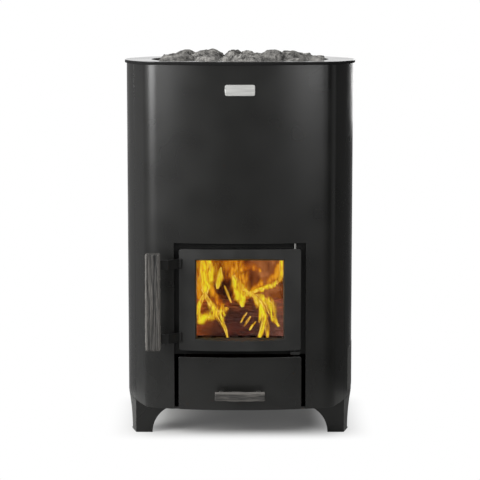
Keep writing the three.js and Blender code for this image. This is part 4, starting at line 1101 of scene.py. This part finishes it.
class STOVE_OT_jacket(bpy.types.Operator):
    """Spins the four panels of the jacket and cuts the recess and the flue hole"""

    bl_idname = "stove.jacket"
    bl_label = "Jacket"

    def execute(self, context):
        size = sizes()
        low, high = PANEL_LOW.z, PANEL_HIGH.z

        front = curved_sheet("jacket_front", wrap_arcs(), low, high)
        edit(front)
        cuts = [((x, 0, 0), (1, 0, 0)) for x in (-size.recess_half, size.recess_half)]
        cuts.append(((0, 0, size.recess_top), (0, 0, 1)))
        for point, normal in cuts:
            bpy.ops.mesh.select_all(action="SELECT")
            bpy.ops.mesh.bisect(plane_co=point, plane_no=normal)

        def in_recess(face):
            middle = face.calc_center_median()
            return abs(middle.x) < size.recess_half and middle.z < size.recess_top

        pick(front, "faces", in_recess)
        bpy.ops.mesh.delete(type="FACE")
        bpy.ops.object.mode_set(mode="OBJECT")

        rear = curved_sheet("jacket_rear", turned(wrap_arcs()), low, high)
        collar_low, collar_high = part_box("flue_collar")
        middle = (collar_low + collar_high) / 2
        bpy.ops.mesh.primitive_cylinder_add(
            vertices=ROUND_SIDES,
            radius=size.flue_hole,
            depth=4 * (collar_high.y - collar_low.y),
            location=middle,
            rotation=(math.pi / 2, 0, 0),
        )
        cutter = bpy.context.object

        seam = size.seam_setback + size.seam_gap / 2
        depth = 2 * (MIDDLE_Y - FRONT_Y)
        side_arcs = [side_arc(seam, depth - seam)]
        right = curved_sheet("jacket_right", side_arcs, low, high)
        left = curved_sheet("jacket_left", turned(side_arcs), low, high)

        nodes = {
            front: "front_panel",
            rear: "rear_panel",
            right: "right_side_panel",
            left: "left_side_panel",
        }
        for piece, node in nodes.items():
            modify(piece, "SOLIDIFY", thickness=size.jacket_sheet, offset=-1.0, use_even_offset=True)
            if piece is rear:
                modify(piece, "BOOLEAN", operation="DIFFERENCE", object=cutter, solver="EXACT")
            soften(piece, size.sheet_edge)
            dress(piece, "stove", "black_paint", finish("stove_paint"), node)
        bpy.data.objects.remove(cutter)
        return {"FINISHED"}


class STOVE_OT_bent_sheet(bpy.types.Operator):
    """Rounds the edges of the rim, the legs, the base plate and the stone compartment"""

    bl_idname = "stove.bent_sheet"
    bl_label = "Rim, legs and base"

    def execute(self, context):
        edge = sizes().sheet_edge
        painted = {"top_rim": (1.4 * edge, "rim_paint")}
        for node in ("front_left_leg", "front_right_leg", "rear_left_leg", "rear_right_leg", "base_plate"):
            painted[node] = (edge, "stove_paint")
        for node, (width, paint) in painted.items():
            piece = cad_copy(f"{node}_sheet", node)
            soften(piece, width)
            dress(piece, "stove", "black_paint", finish(paint), node)
        well = cad_copy("stone_well", "stone_compartment")
        soften(well, edge)
        dress(well, "stove", "bare_steel", finish("sooty_steel"), "stone_compartment")
        return {"FINISHED"}


class STOVE_OT_plates(bpy.types.Operator):
    """Spins the two bare plates, one on the front and one low on the right side"""

    bl_idname = "stove.plates"
    bl_label = "Bare plates"

    def execute(self, context):
        size = sizes()
        low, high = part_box("name_plate")
        proud = FRONT_Y - low.y
        name_plate = curved_sheet("bare_name_plate", [front_arc(high.x, -proud)], low.z, high.z)
        round_corners(name_plate, size.plate_corner)
        modify(name_plate, "SOLIDIFY", thickness=0.8 * proud, offset=-1.0)
        soften(name_plate, NAME_PLATE_EDGE)
        dress(name_plate, "stove", "bright_plate", finish("bright_aluminium"), "name_plate")

        low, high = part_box("rating_plate")
        proud = high.x - HALF_WIDTH
        arcs = [side_arc(low.y - FRONT_Y, high.y - FRONT_Y, -proud)]
        rating_plate = curved_sheet("bare_rating_plate", arcs, low.z, high.z)
        modify(rating_plate, "SOLIDIFY", thickness=0.7 * proud, offset=-1.0)
        soften(rating_plate, RATING_PLATE_EDGE)
        # Painted shade: the rating plate gets the darker, duller copy of the aluminium
        dress(rating_plate, "stove", "bright_plate", finish("dull_aluminium"), "rating_plate")
        return {"FINISHED"}


class STOVE_OT_door(bpy.types.Operator):
    """Rounds the cast door, its frame, its glass clips and its screws, and gives the glass its finish"""

    bl_idname = "stove.door"
    bl_label = "Door"

    def execute(self, context):
        size = sizes()
        casting = cad_copy("door_cast_iron", "door_casting")
        soften(casting, size.casting_edge)
        dress(casting, "door", "cast_iron", finish("painted_casting"), "door_casting")
        opening = cad_copy("door_frame_cast_iron", "door_frame")
        soften(opening, size.casting_edge / 2)
        dress(opening, "stove", "cast_iron", finish("painted_casting"), "door_frame")
        for side in ("upper", "lower"):
            arm = cad_copy(f"{side}_arm_strap", f"{side}_handle_arm")
            soften(arm, STRAP_EDGE)
            dress(arm, "door", "black_paint", finish("stove_paint"), f"{side}_handle_arm")
        # Painted shade: the zinc pin gets the black casting paint, so that it reads as the shade in the gap
        # below the door
        foot = cad_copy("lower_hinge_pin_painted", "lower_hinge_pin")
        soften(foot, SCREW_EDGE)
        dress(foot, "door", "zinc", finish("painted_casting"), "lower_hinge_pin")
        small = ["upper_hinge_pin", "upper_handle_bolt", "lower_handle_bolt"]
        small += ["left_glass_clip", "right_glass_clip", "left_clip_screw", "right_clip_screw"]
        for node in small:
            piece = cad_copy(f"{node}_zinc", node)
            soften(piece, SCREW_EDGE)
            dress(piece, "door", "zinc", finish("zinc_plate"), node)
        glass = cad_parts["door_glass"]
        glass.data.materials.clear()
        glass.data.materials.append(finish("stove_glass"))
        return {"FINISHED"}


class STOVE_OT_drawer(bpy.types.Operator):
    """Spins the drawer front and rounds the box, the stand-offs and the screws behind it"""

    bl_idname = "stove.drawer"
    bl_label = "Ash drawer"

    def execute(self, context):
        size = sizes()
        front = curved_sheet(
            "drawer_front_sheet", [front_arc(DRAWER_HIGH.x)], DRAWER_LOW.z, DRAWER_HIGH.z
        )
        round_corners(front, size.drawer_corner)
        modify(front, "SOLIDIFY", thickness=size.jacket_sheet, offset=-1.0, use_even_offset=True)
        soften(front, 1.4 * size.sheet_edge)
        dress(front, "ash_drawer", "black_paint", finish("stove_paint"), "ash_drawer_front")
        box = cad_copy("drawer_box_sheet", "ash_drawer_box")
        soften(box, DRAWER_BOX_EDGE)
        dress(box, "ash_drawer", "bare_steel", finish("sooty_steel"), "ash_drawer_box")
        for kind in ("standoff", "screw"):
            for node in (f"left_drawer_{kind}", f"right_drawer_{kind}"):
                piece = cad_copy(f"{node}_zinc", node)
                soften(piece, STANDOFF_EDGE)
                dress(piece, "ash_drawer", "zinc", finish("zinc_plate"), node)
        return {"FINISHED"}


def even_out(piece, step, smoothing):
    """Gives the piece an even mesh with steps of this length, and smooths it this many times."""
    activate(piece)
    piece.data.remesh_voxel_size = step
    bpy.ops.object.voxel_remesh()
    modify(piece, "SMOOTH", factor=0.5, iterations=smoothing)


def sink(piece, depth_at):
    """Moves each corner inwards along its normal by the depth that depth_at gives for its place."""
    mesh = bmesh.new()
    mesh.from_mesh(piece.data)
    mesh.normal_update()
    moves = [(corner, corner.normal * depth_at(corner.co)) for corner in mesh.verts]
    for corner, move in moves:
        corner.co -= move
    mesh.to_mesh(piece.data)
    mesh.free()


def wooden_bar(name, node, edge, run):
    """A bar from a cube: its edges rounded and its faces worn down between the lines of the grain.

    Edge is the rounding of the long edges, and run the axis along the bar, 0 for X and 2 for Z.
    """
    low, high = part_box(node)
    deselect()
    bpy.ops.mesh.primitive_cube_add(size=1, location=(low + high) / 2, scale=high - low)
    piece = named(bpy.context.object, name)
    bpy.ops.object.transform_apply(location=True, rotation=True, scale=True)
    edit(piece)
    length = high[run] - low[run]

    def is_long(side):
        return abs((side.verts[0].co - side.verts[1].co)[run]) > length / 2

    def at_end(side):
        return all(min(v.co[run] - low[run], high[run] - v.co[run]) < NEAR for v in side.verts)

    pick(piece, "edges", is_long)
    bpy.ops.mesh.bevel(offset=edge, segments=4)
    pick(piece, "edges", at_end)
    bpy.ops.mesh.bevel(offset=0.7 * edge, segments=3)
    bpy.ops.object.mode_set(mode="OBJECT")
    even_out(piece, BAR_STEP, 2)

    depth = sizes().grain_depth
    dent_size = 18 * MM
    grain_size = [2.4 * MM] * 3
    grain_size[run] = 70 * MM

    def groove(place):
        grain = Vector([c / size for c, size in zip(place, grain_size)])
        worn = noise.fractal(grain, 1.0, 2.0, 3)
        dent = noise.noise(place / dent_size)
        return depth * (0.5 + max(-0.5, worn)) + 0.4 * depth * (1 + dent)

    sink(piece, groove)
    activate(piece)
    bpy.ops.object.shade_smooth()
    return piece


class STOVE_OT_handles(bpy.types.Operator):
    """Shapes the wooden handles of the door and of the drawer"""

    bl_idname = "stove.handles"
    bl_label = "Wooden handles"

    def execute(self, context):
        edge = sizes().handle_edge
        upright = wooden_bar("door_handle_wood", "door_handle", edge, 2)
        dress(upright, "door", "handle_wood", finish("upright_wood"), "door_handle")
        level = wooden_bar("drawer_handle_wood", "drawer_handle", 0.6 * edge, 0)
        dress(level, "ash_drawer", "handle_wood", finish("level_wood"), "drawer_handle")
        return {"FINISHED"}


class STOVE_OT_stones(bpy.types.Operator):
    """Splits flat faces off each stone of the bed and roughens them"""

    bl_idname = "stove.stones"
    bl_label = "Stones"

    def execute(self, context):
        cleft = sizes().stone_cleft
        draw = random.Random(11)
        chip = 15 * MM
        knob = 6 * MM
        knob_height = 0.8 * MM
        ridge_width = 0.25

        def broken(place):
            ridge = abs(noise.fractal(place / chip, 1.0, 2.0, 2))
            rough = noise.fractal(place / knob, 0.9, 2.1, 4)
            return cleft * max(0.0, 1 - ridge / ridge_width) + knob_height * (1 + rough)

        stones = [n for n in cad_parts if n.startswith("stone_") and n != "stone_compartment"]
        for node in sorted(stones):
            rock = cad_copy(f"{node}_rock", node)
            self.split(rock, draw)
            even_out(rock, ROUGH_STEP, 1)
            sink(rock, broken)
            activate(rock)
            bpy.ops.object.shade_smooth_by_angle(angle=SHARP_ANGLE)
            dress(rock, "stove", "stone", finish("heater_stone"), node)
        return {"FINISHED"}

    def split(self, rock, draw):
        """Knocks flat faces off the rock, each by a cut at a slant."""
        faces = 8
        for _ in range(faces):
            slant = (draw.uniform(-1, 1), draw.uniform(-1, 1), draw.uniform(-0.3, 0.8))
            facing = Vector(slant).normalized()
            reaches = [corner.co.dot(facing) for corner in rock.data.vertices]
            depth = draw.uniform(0.03, 0.09) * (max(reaches) - min(reaches))
            point = facing * (max(reaches) - depth)
            edit(rock)
            bpy.ops.mesh.bisect(plane_co=point, plane_no=facing, use_fill=True, clear_outer=True)
            bpy.ops.object.mode_set(mode="OBJECT")


class STOVE_OT_logs(bpy.types.Operator):
    """Chars the two logs on the grate and splits their faces along the grain"""

    bl_idname = "stove.logs"
    bl_label = "Firewood"

    def execute(self, context):
        # Length, depth and height of a fibre of the wood, in millimetres
        grain_size = (60, 6, 6)
        split_depth = 2.2 * MM
        crack_depth = 1.6 * MM
        crack_width = 0.25

        def scaled(place, lengths):
            return Vector([c / (length * MM) for c, length in zip(place, lengths)])

        def charred(place):
            split = noise.fractal(scaled(place, grain_size), 1.0, 2.0, 3)
            distances, _ = noise.voronoi(scaled(place, CHAR_PLATE))
            crack = max(0.0, 1 - (distances[1] - distances[0]) / crack_width)
            return split_depth * (1 + split) + crack_depth * crack

        for place in ("front", "rear"):
            log = cad_copy(f"{place}_log_char", f"{place}_firewood_log")
            even_out(log, ROUGH_STEP, 3)
            sink(log, charred)
            activate(log)
            bpy.ops.object.shade_smooth_by_angle(angle=CHAR_ANGLE)
            dress(log, "stove", "firewood", finish("burning_wood"), f"{place}_firewood_log")
        return {"FINISHED"}


def tube(name, points, sides, cyclic=False):
    """A closed tube along points of (place, half width), made as a smooth path and turned into a mesh.

    It is left in edit mode with all of it selected. Sides is how finely its section is rounded.
    """
    deselect()
    curve = bpy.data.curves.new(name, "CURVE")
    curve.dimensions = "3D"
    curve.bevel_depth = 1.0
    curve.bevel_resolution = sides
    curve.use_fill_caps = True
    spline = curve.splines.new("NURBS")
    spline.points.add(len(points) - 1)
    for point, (place, half) in zip(spline.points, points):
        point.co = (*place, 1)
        point.radius = half
    spline.order_u = 3
    spline.resolution_u = 6
    spline.use_endpoint_u = not cyclic
    spline.use_cyclic_u = cyclic
    path = bpy.data.objects.new(name, curve)
    bpy.context.scene.collection.objects.link(path)
    activate(path)
    bpy.ops.object.convert(target="MESH")
    piece = named(bpy.context.object, name)
    edit(piece)
    bpy.ops.mesh.remove_doubles(threshold=2 * MERGE)
    bpy.ops.mesh.normals_make_consistent(inside=False)
    return piece


class STOVE_OT_flames(bpy.types.Operator):
    """Lays flame tongues over the logs: some rise in front of them, some from them and some behind"""

    bl_idname = "stove.flames"
    bl_label = "Flames"

    # How far a line lies in front of its tongue, and the length and height of its bends, in millimetres
    line_lead = 4
    bend_length = 30
    bend_height = 22

    def execute(self, context):
        for index, (layer, kind, path) in enumerate(FLAME_TONGUES):
            depth, half, low, high = FLAME_LAYERS[layer]
            points = []
            for across, up, width in path:
                x = (2 * across - 1) * half
                z = low + up * (high - low)
                points.append((x, z, width))
            name = f"flame_{index + 1:02d}"
            self.tongue(name, kind, depth, points)
            if kind == "flame":
                for side in (-1, 1):
                    line = self.edge(points, side)
                    self.tongue(f"{name}_line_{side + 2}", "flame_line", depth - self.line_lead, line)
        return {"FINISHED"}

    def edge(self, points, side):
        """A thin line that wanders along one side of a tongue, -1 for the left and 1 for the right."""
        line = []
        for x, z, width in points:
            wander = noise.noise(Vector((x / self.bend_length, z / self.bend_height, side)))
            shift = side * width * (0.65 + 0.9 * wander)
            line.append((x + shift, z, 0.8 + 0.12 * width))
        return line

    def facing(self, corner, middles):
        """1 where a tongue faces the front or the back and 0 at its sides, whatever its taper."""
        start, end = min(
            zip(middles, middles[1:]), key=lambda ends: (corner.co - (ends[0] + ends[1]) / 2).length
        )
        along = (end - start).normalized()
        across = corner.normal - along * corner.normal.dot(along)
        return abs(across.normalized().y)

    def tongue(self, name, kind, depth, points):
        """One tongue along points of (x, z, half width), flattened from front to back."""
        swell, flatness = FLAME_KINDS[kind]
        y = FRONT_Y + depth * MM
        middles = [Vector((x * MM, y, z * MM)) for x, z, _ in points]
        halves = [swell * width * MM for _, _, width in points]
        piece = tube(name, list(zip(middles, halves)), sides=7)
        bpy.ops.object.mode_set(mode="OBJECT")
        facing = [self.facing(corner, middles) for corner in piece.data.vertices]
        hotness = piece.data.attributes.new("hotness", "FLOAT", "POINT")
        hotness.data.foreach_set("value", facing)
        edit(piece)
        bpy.ops.transform.resize(value=(1, flatness, 1), center_override=(0, y, 0))
        bpy.ops.object.mode_set(mode="OBJECT")
        bpy.ops.object.shade_smooth()
        dress(piece, "stove", "firewood", finish(kind))


class STOVE_OT_seals(bpy.types.Operator):
    """Lays the rope seal round the back of the door and rounds the tape under the glass"""

    bl_idname = "stove.seals"
    bl_label = "Seals"

    def execute(self, context):
        low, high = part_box("door_seal")
        thick = high.y - low.y
        middle_y = (low.y + high.y) / 2
        half = 3 * MM
        bend = 6 * MM
        left, right = low.x + half, high.x - half
        bottom, top = low.z + half, high.z - half
        corners = [(left, bottom), (right, bottom), (right, top), (left, top)]
        runs = [(1, 0), (0, 1), (-1, 0), (0, -1)]
        points = []
        for (x, z), (dx, dz), (nx, nz) in zip(corners, runs[3:] + runs[:3], runs):
            steps = [(x - bend * dx, z - bend * dz), (x, z), (x + bend * nx, z + bend * nz)]
            points += [((px, middle_y, pz), half) for px, pz in steps]
        rope = tube("door_rope", points, sides=5, cyclic=True)
        bpy.ops.mesh.select_all(action="SELECT")
        bpy.ops.transform.resize(value=(1, thick / (2 * half), 1), center_override=(0, middle_y, 0))
        bpy.ops.object.mode_set(mode="OBJECT")
        bpy.ops.object.shade_smooth()
        dress(rope, "door", "seal_rope", finish("glass_rope"), "door_seal")
        tape = cad_copy("glass_tape", "glass_gasket")
        soften(tape, TAPE_EDGE)
        dress(tape, "door", "seal_rope", finish("glass_rope"), "glass_gasket")
        return {"FINISHED"}


class STOVE_OT_flue(bpy.types.Operator):
    """Turns the flue collar from its section"""

    bl_idname = "stove.flue"
    bl_label = "Flue collar"

    def execute(self, context):
        low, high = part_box("flue_collar")
        middle = (low.z + high.z) / 2
        flange_radius = (high.z - low.z) / 2
        flange_sheet = 4 * MM
        flange_width = 12 * MM
        tube_radius = flange_radius - flange_width
        wall = 4 * MM
        deselect()
        bpy.ops.mesh.primitive_plane_add(
            size=1,
            location=(0, (low.y + high.y) / 2, middle + tube_radius - wall / 2),
            rotation=(0, math.pi / 2, 0),
        )
        collar = named(bpy.context.object, "flue_collar_turned")
        collar.scale = (wall, high.y - low.y, 1)
        bpy.ops.object.transform_apply(location=True, rotation=True, scale=True)
        edit(collar)
        bpy.ops.mesh.bisect(plane_co=(0, low.y + flange_sheet, 0), plane_no=(0, 1, 0))

        def flange_root(side):
            return all(
                v.co.z > middle + tube_radius - wall / 2 and v.co.y < low.y + 1.1 * flange_sheet
                for v in side.verts
            )

        pick(collar, "edges", flange_root)
        bpy.ops.mesh.extrude_edges_move(TRANSFORM_OT_translate={"value": (0, 0, flange_width)})
        pick(collar, "edges", lambda side: len(side.link_faces) == 2)
        bpy.ops.mesh.dissolve_edges(use_verts=False)
        bpy.ops.mesh.select_all(action="SELECT")
        bpy.ops.mesh.delete(type="ONLY_FACE")
        bpy.ops.mesh.select_all(action="SELECT")
        bpy.ops.mesh.spin(steps=ROUND_SIDES, angle=2 * math.pi, center=(0, 0, middle), axis=(0, 1, 0))
        bpy.ops.mesh.select_all(action="SELECT")
        bpy.ops.mesh.remove_doubles(threshold=MERGE)
        bpy.ops.mesh.normals_make_consistent(inside=False)
        bpy.ops.object.mode_set(mode="OBJECT")
        soften(collar, sizes().sheet_edge)
        dress(collar, "stove", "black_paint", finish("stove_paint"), "flue_collar")
        return {"FINISHED"}


class STOVE_OT_inner(bpy.types.Operator):
    """Gives the flat pieces of the firebox their finish and rounds the cast grate"""

    bl_idname = "stove.inner"
    bl_label = "Firebox"

    def execute(self, context):
        for node in ("firebox_shell", "flame_baffle", "left_firebox_channel", "right_firebox_channel"):
            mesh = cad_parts[node].data
            mesh.materials.clear()
            mesh.materials.append(finish("sooty_steel"))
        grate = cad_copy("grate_cast_iron", "grate")
        soften(grate, sizes().casting_edge)
        dress(grate, "stove", "cast_iron", finish("painted_casting"), "grate")
        return {"FINISHED"}


def backdrop_seen(tree, place):
    """Where the white backdrop shows: to the camera and through glass all over, in shiny surfaces behind.

    Place is a point of the floor or a direction of the world. The backdrop that shines stands behind the
    stove, in a wedge that is wider the further back it is.
    """
    wedge_slope = 0.36
    rays = add(tree, "ShaderNodeLightPath")
    parts = add(tree, "ShaderNodeSeparateXYZ", {0: place})
    aside = add(tree, "ShaderNodeMath", {0: parts.outputs["X"]}, operation="ABSOLUTE")
    wedge = add(tree, "ShaderNodeMath", {0: parts.outputs["Y"], 1: wedge_slope}, operation="MULTIPLY")
    inside = add(tree, "ShaderNodeMath", {0: wedge.outputs[0], 1: aside.outputs[0]}, operation="SUBTRACT")
    behind = add(
        tree,
        "ShaderNodeMapRange",
        {"Value": inside.outputs[0], "From Min": 0.0, "From Max": 0.3},
        interpolation_type="SMOOTHSTEP",
    )
    shine = add(
        tree,
        "ShaderNodeMath",
        {0: behind.outputs["Result"], 1: rays.outputs["Is Glossy Ray"]},
        operation="MULTIPLY",
    )
    straight = add(
        tree,
        "ShaderNodeMath",
        {0: rays.outputs["Is Camera Ray"], 1: rays.outputs["Is Transmission Ray"]},
        operation="ADD",
    )
    seen = add(
        tree,
        "ShaderNodeMath",
        {0: straight.outputs[0], 1: shine.outputs[0]},
        operation="ADD",
        use_clamp=True,
    )
    return seen.outputs[0]


def stage_floor():
    """Pale studio floor: keeps the shadow near the stove and fades to the white background further out."""
    material, tree, shader, place = start_material("studio_floor")
    tree.nodes.remove(shader)
    seen = backdrop_seen(tree, place)
    # The shadow that is kept is wider from side to side than from front to back, and is a little lifted
    shadow_scale = (0.82, 1, 1)
    shadow_lift = 0.075
    squeeze = add(tree, "ShaderNodeMapping", {"Vector": place, "Scale": shadow_scale})
    apart = add(tree, "ShaderNodeVectorMath", {0: squeeze.outputs["Vector"]}, operation="ABSOLUTE")
    sides = add(tree, "ShaderNodeSeparateXYZ", {0: apart.outputs["Vector"]})
    distance = add(
        tree,
        "ShaderNodeMath",
        {0: sides.outputs["X"], 1: sides.outputs["Y"], 2: 0.1},
        operation="SMOOTH_MAX",
    )
    far = add(
        tree,
        "ShaderNodeMapRange",
        {"Value": distance.outputs[0], "From Min": 0.11, "From Max": 0.22},
        interpolation_type="SMOOTHSTEP",
    )
    white = add(tree, "ShaderNodeMath", {0: far.outputs["Result"], 1: seen}, operation="MULTIPLY")
    pale = add(tree, "ShaderNodeBsdfDiffuse", {"Color": (*linear("#b2b2b0"), 1)})
    lift = add(tree, "ShaderNodeMath", {0: seen, 1: shadow_lift}, operation="MULTIPLY")
    glow = add(tree, "ShaderNodeEmission", {"Strength": lift.outputs[0]})
    near = add(tree, "ShaderNodeAddShader", {0: pale.outputs[0], 1: glow.outputs[0]})
    beyond = add(tree, "ShaderNodeEmission", {"Strength": 1.0})
    both = add(
        tree, "ShaderNodeMixShader", {0: white.outputs[0], 1: near.outputs[0], 2: beyond.outputs[0]}
    )
    tree.links.new(both.outputs[0], tree.nodes["Material Output"].inputs["Surface"])
    return material


def stage_world():
    """White backdrop behind the stove and a dim grey room, lighter in front and on the left."""
    world = bpy.data.worlds.new("studio")
    bpy.context.scene.world = world
    world.use_nodes = True
    tree = world.node_tree
    tree.nodes.clear()
    direction = add(tree, "ShaderNodeTexCoord").outputs["Generated"]
    seen = backdrop_seen(tree, direction)
    lightest = (-0.9, -0.55, 0.3)
    towards = add(tree, "ShaderNodeVectorMath", {0: direction, 1: lightest}, operation="DOT_PRODUCT")
    grey = add(
        tree,
        "ShaderNodeMapRange",
        {
            "Value": towards.outputs["Value"],
            "From Min": -0.75,
            "From Max": 0.8,
            "To Min": 0.05,
            "To Max": 0.37,
        },
    )
    room = add(tree, "ShaderNodeBackground", {"Color": (1, 1, 1, 1), "Strength": grey.outputs["Result"]})
    white = add(tree, "ShaderNodeBackground", {"Color": (1, 1, 1, 1), "Strength": 1.0})
    both = add(tree, "ShaderNodeMixShader", {0: seen, 1: room.outputs[0], 2: white.outputs[0]})
    add(tree, "ShaderNodeOutputWorld", {"Surface": both.outputs[0]})


def soft_box(name, place, aim, width, height, power):
    """A rectangular area lamp at a place, turned to face the point aim."""
    deselect()
    bpy.ops.object.light_add(type="AREA", location=place)
    lamp = named(bpy.context.object, name)
    lamp.rotation_euler = (Vector(aim) - Vector(place)).to_track_quat("-Z", "Y").to_euler()
    lamp.data.shape = "RECTANGLE"
    lamp.data.size = width
    lamp.data.size_y = height
    lamp.data.energy = power


class STOVE_OT_stage(bpy.types.Operator):
    """Sets up the floor, the white background, the soft boxes, the glow of the fire and the camera"""

    bl_idname = "stove.stage"
    bl_label = "Studio stage"

    def execute(self, context):
        scene = context.scene
        scene.view_settings.view_transform = "Standard"
        deselect()
        bpy.ops.mesh.primitive_circle_add(
            vertices=ROUND_SIDES, radius=FLOOR_RADIUS, fill_type="NGON", location=(0, -FLOOR_LEAD, 0)
        )
        bpy.ops.object.transform_apply(location=True)
        floor = named(context.object, "studio_floor")
        floor.data.materials.append(stage_floor())
        stage_world()
        for name, settings in SOFT_BOXES.items():
            soft_box(name, *settings)
        deselect()
        bpy.ops.object.light_add(
            type="POINT", radius=FIRE_RADIUS, location=(0, FRONT_Y + FIRE_DEPTH, FIRE_HEIGHT)
        )
        glow = named(context.object, "fire_glow")
        glow.data.color = linear("#ff9a3c")
        glow.data.energy = FIRE_POWER

        deselect()
        bpy.ops.object.camera_add(
            location=(0, FRONT_Y - CAMERA_DISTANCE, CAMERA_HEIGHT), rotation=(CAMERA_ANGLE, 0, 0)
        )
        scene.camera = context.object
        scene.camera.data.sensor_width = 36
        scene.camera.data.lens = CAMERA_LENS
        scene.camera.data.clip_end = 100
        return {"FINISHED"}


class STOVE_PT_panel(bpy.types.Panel):
    """Lists the stove's pieces, sizes and colours in the sidebar"""

    bl_idname = "STOVE_PT_panel"
    bl_label = "Sauna stove"
    bl_space_type = "VIEW_3D"
    bl_region_type = "UI"
    bl_category = "Sauna stove"

    def draw(self, context):
        layout = self.layout
        for piece in PIECES:
            layout.operator(piece.bl_idname)
        for group in (context.scene.stove_sizes, context.scene.stove_colours):
            box = layout.box()
            for key in type(group).__annotations__:
                box.prop(group, key)


PIECES = (
    STOVE_OT_jacket,
    STOVE_OT_bent_sheet,
    STOVE_OT_plates,
    STOVE_OT_door,
    STOVE_OT_drawer,
    STOVE_OT_handles,
    STOVE_OT_stones,
    STOVE_OT_logs,
    STOVE_OT_flames,
    STOVE_OT_seals,
    STOVE_OT_flue,
    STOVE_OT_inner,
    STOVE_OT_stage,
)
CLASSES = (StoveSizes, StoveColours, *PIECES, STOVE_PT_panel)


def register():
    for item in CLASSES:
        bpy.utils.register_class(item)
    bpy.types.Scene.stove_sizes = bpy.props.PointerProperty(type=StoveSizes)
    bpy.types.Scene.stove_colours = bpy.props.PointerProperty(type=StoveColours)


def unregister():
    del bpy.types.Scene.stove_colours
    del bpy.types.Scene.stove_sizes
    for item in reversed(CLASSES):
        bpy.utils.unregister_class(item)


def main():
    register()
    bpy.ops.stove.jacket()
    bpy.ops.stove.bent_sheet()
    bpy.ops.stove.plates()
    bpy.ops.stove.door()
    bpy.ops.stove.drawer()
    bpy.ops.stove.handles()
    bpy.ops.stove.stones()
    bpy.ops.stove.logs()
    bpy.ops.stove.flames()
    bpy.ops.stove.seals()
    bpy.ops.stove.flue()
    bpy.ops.stove.inner()
    bpy.ops.stove.stage()


if __name__ == "__main__":
    main()
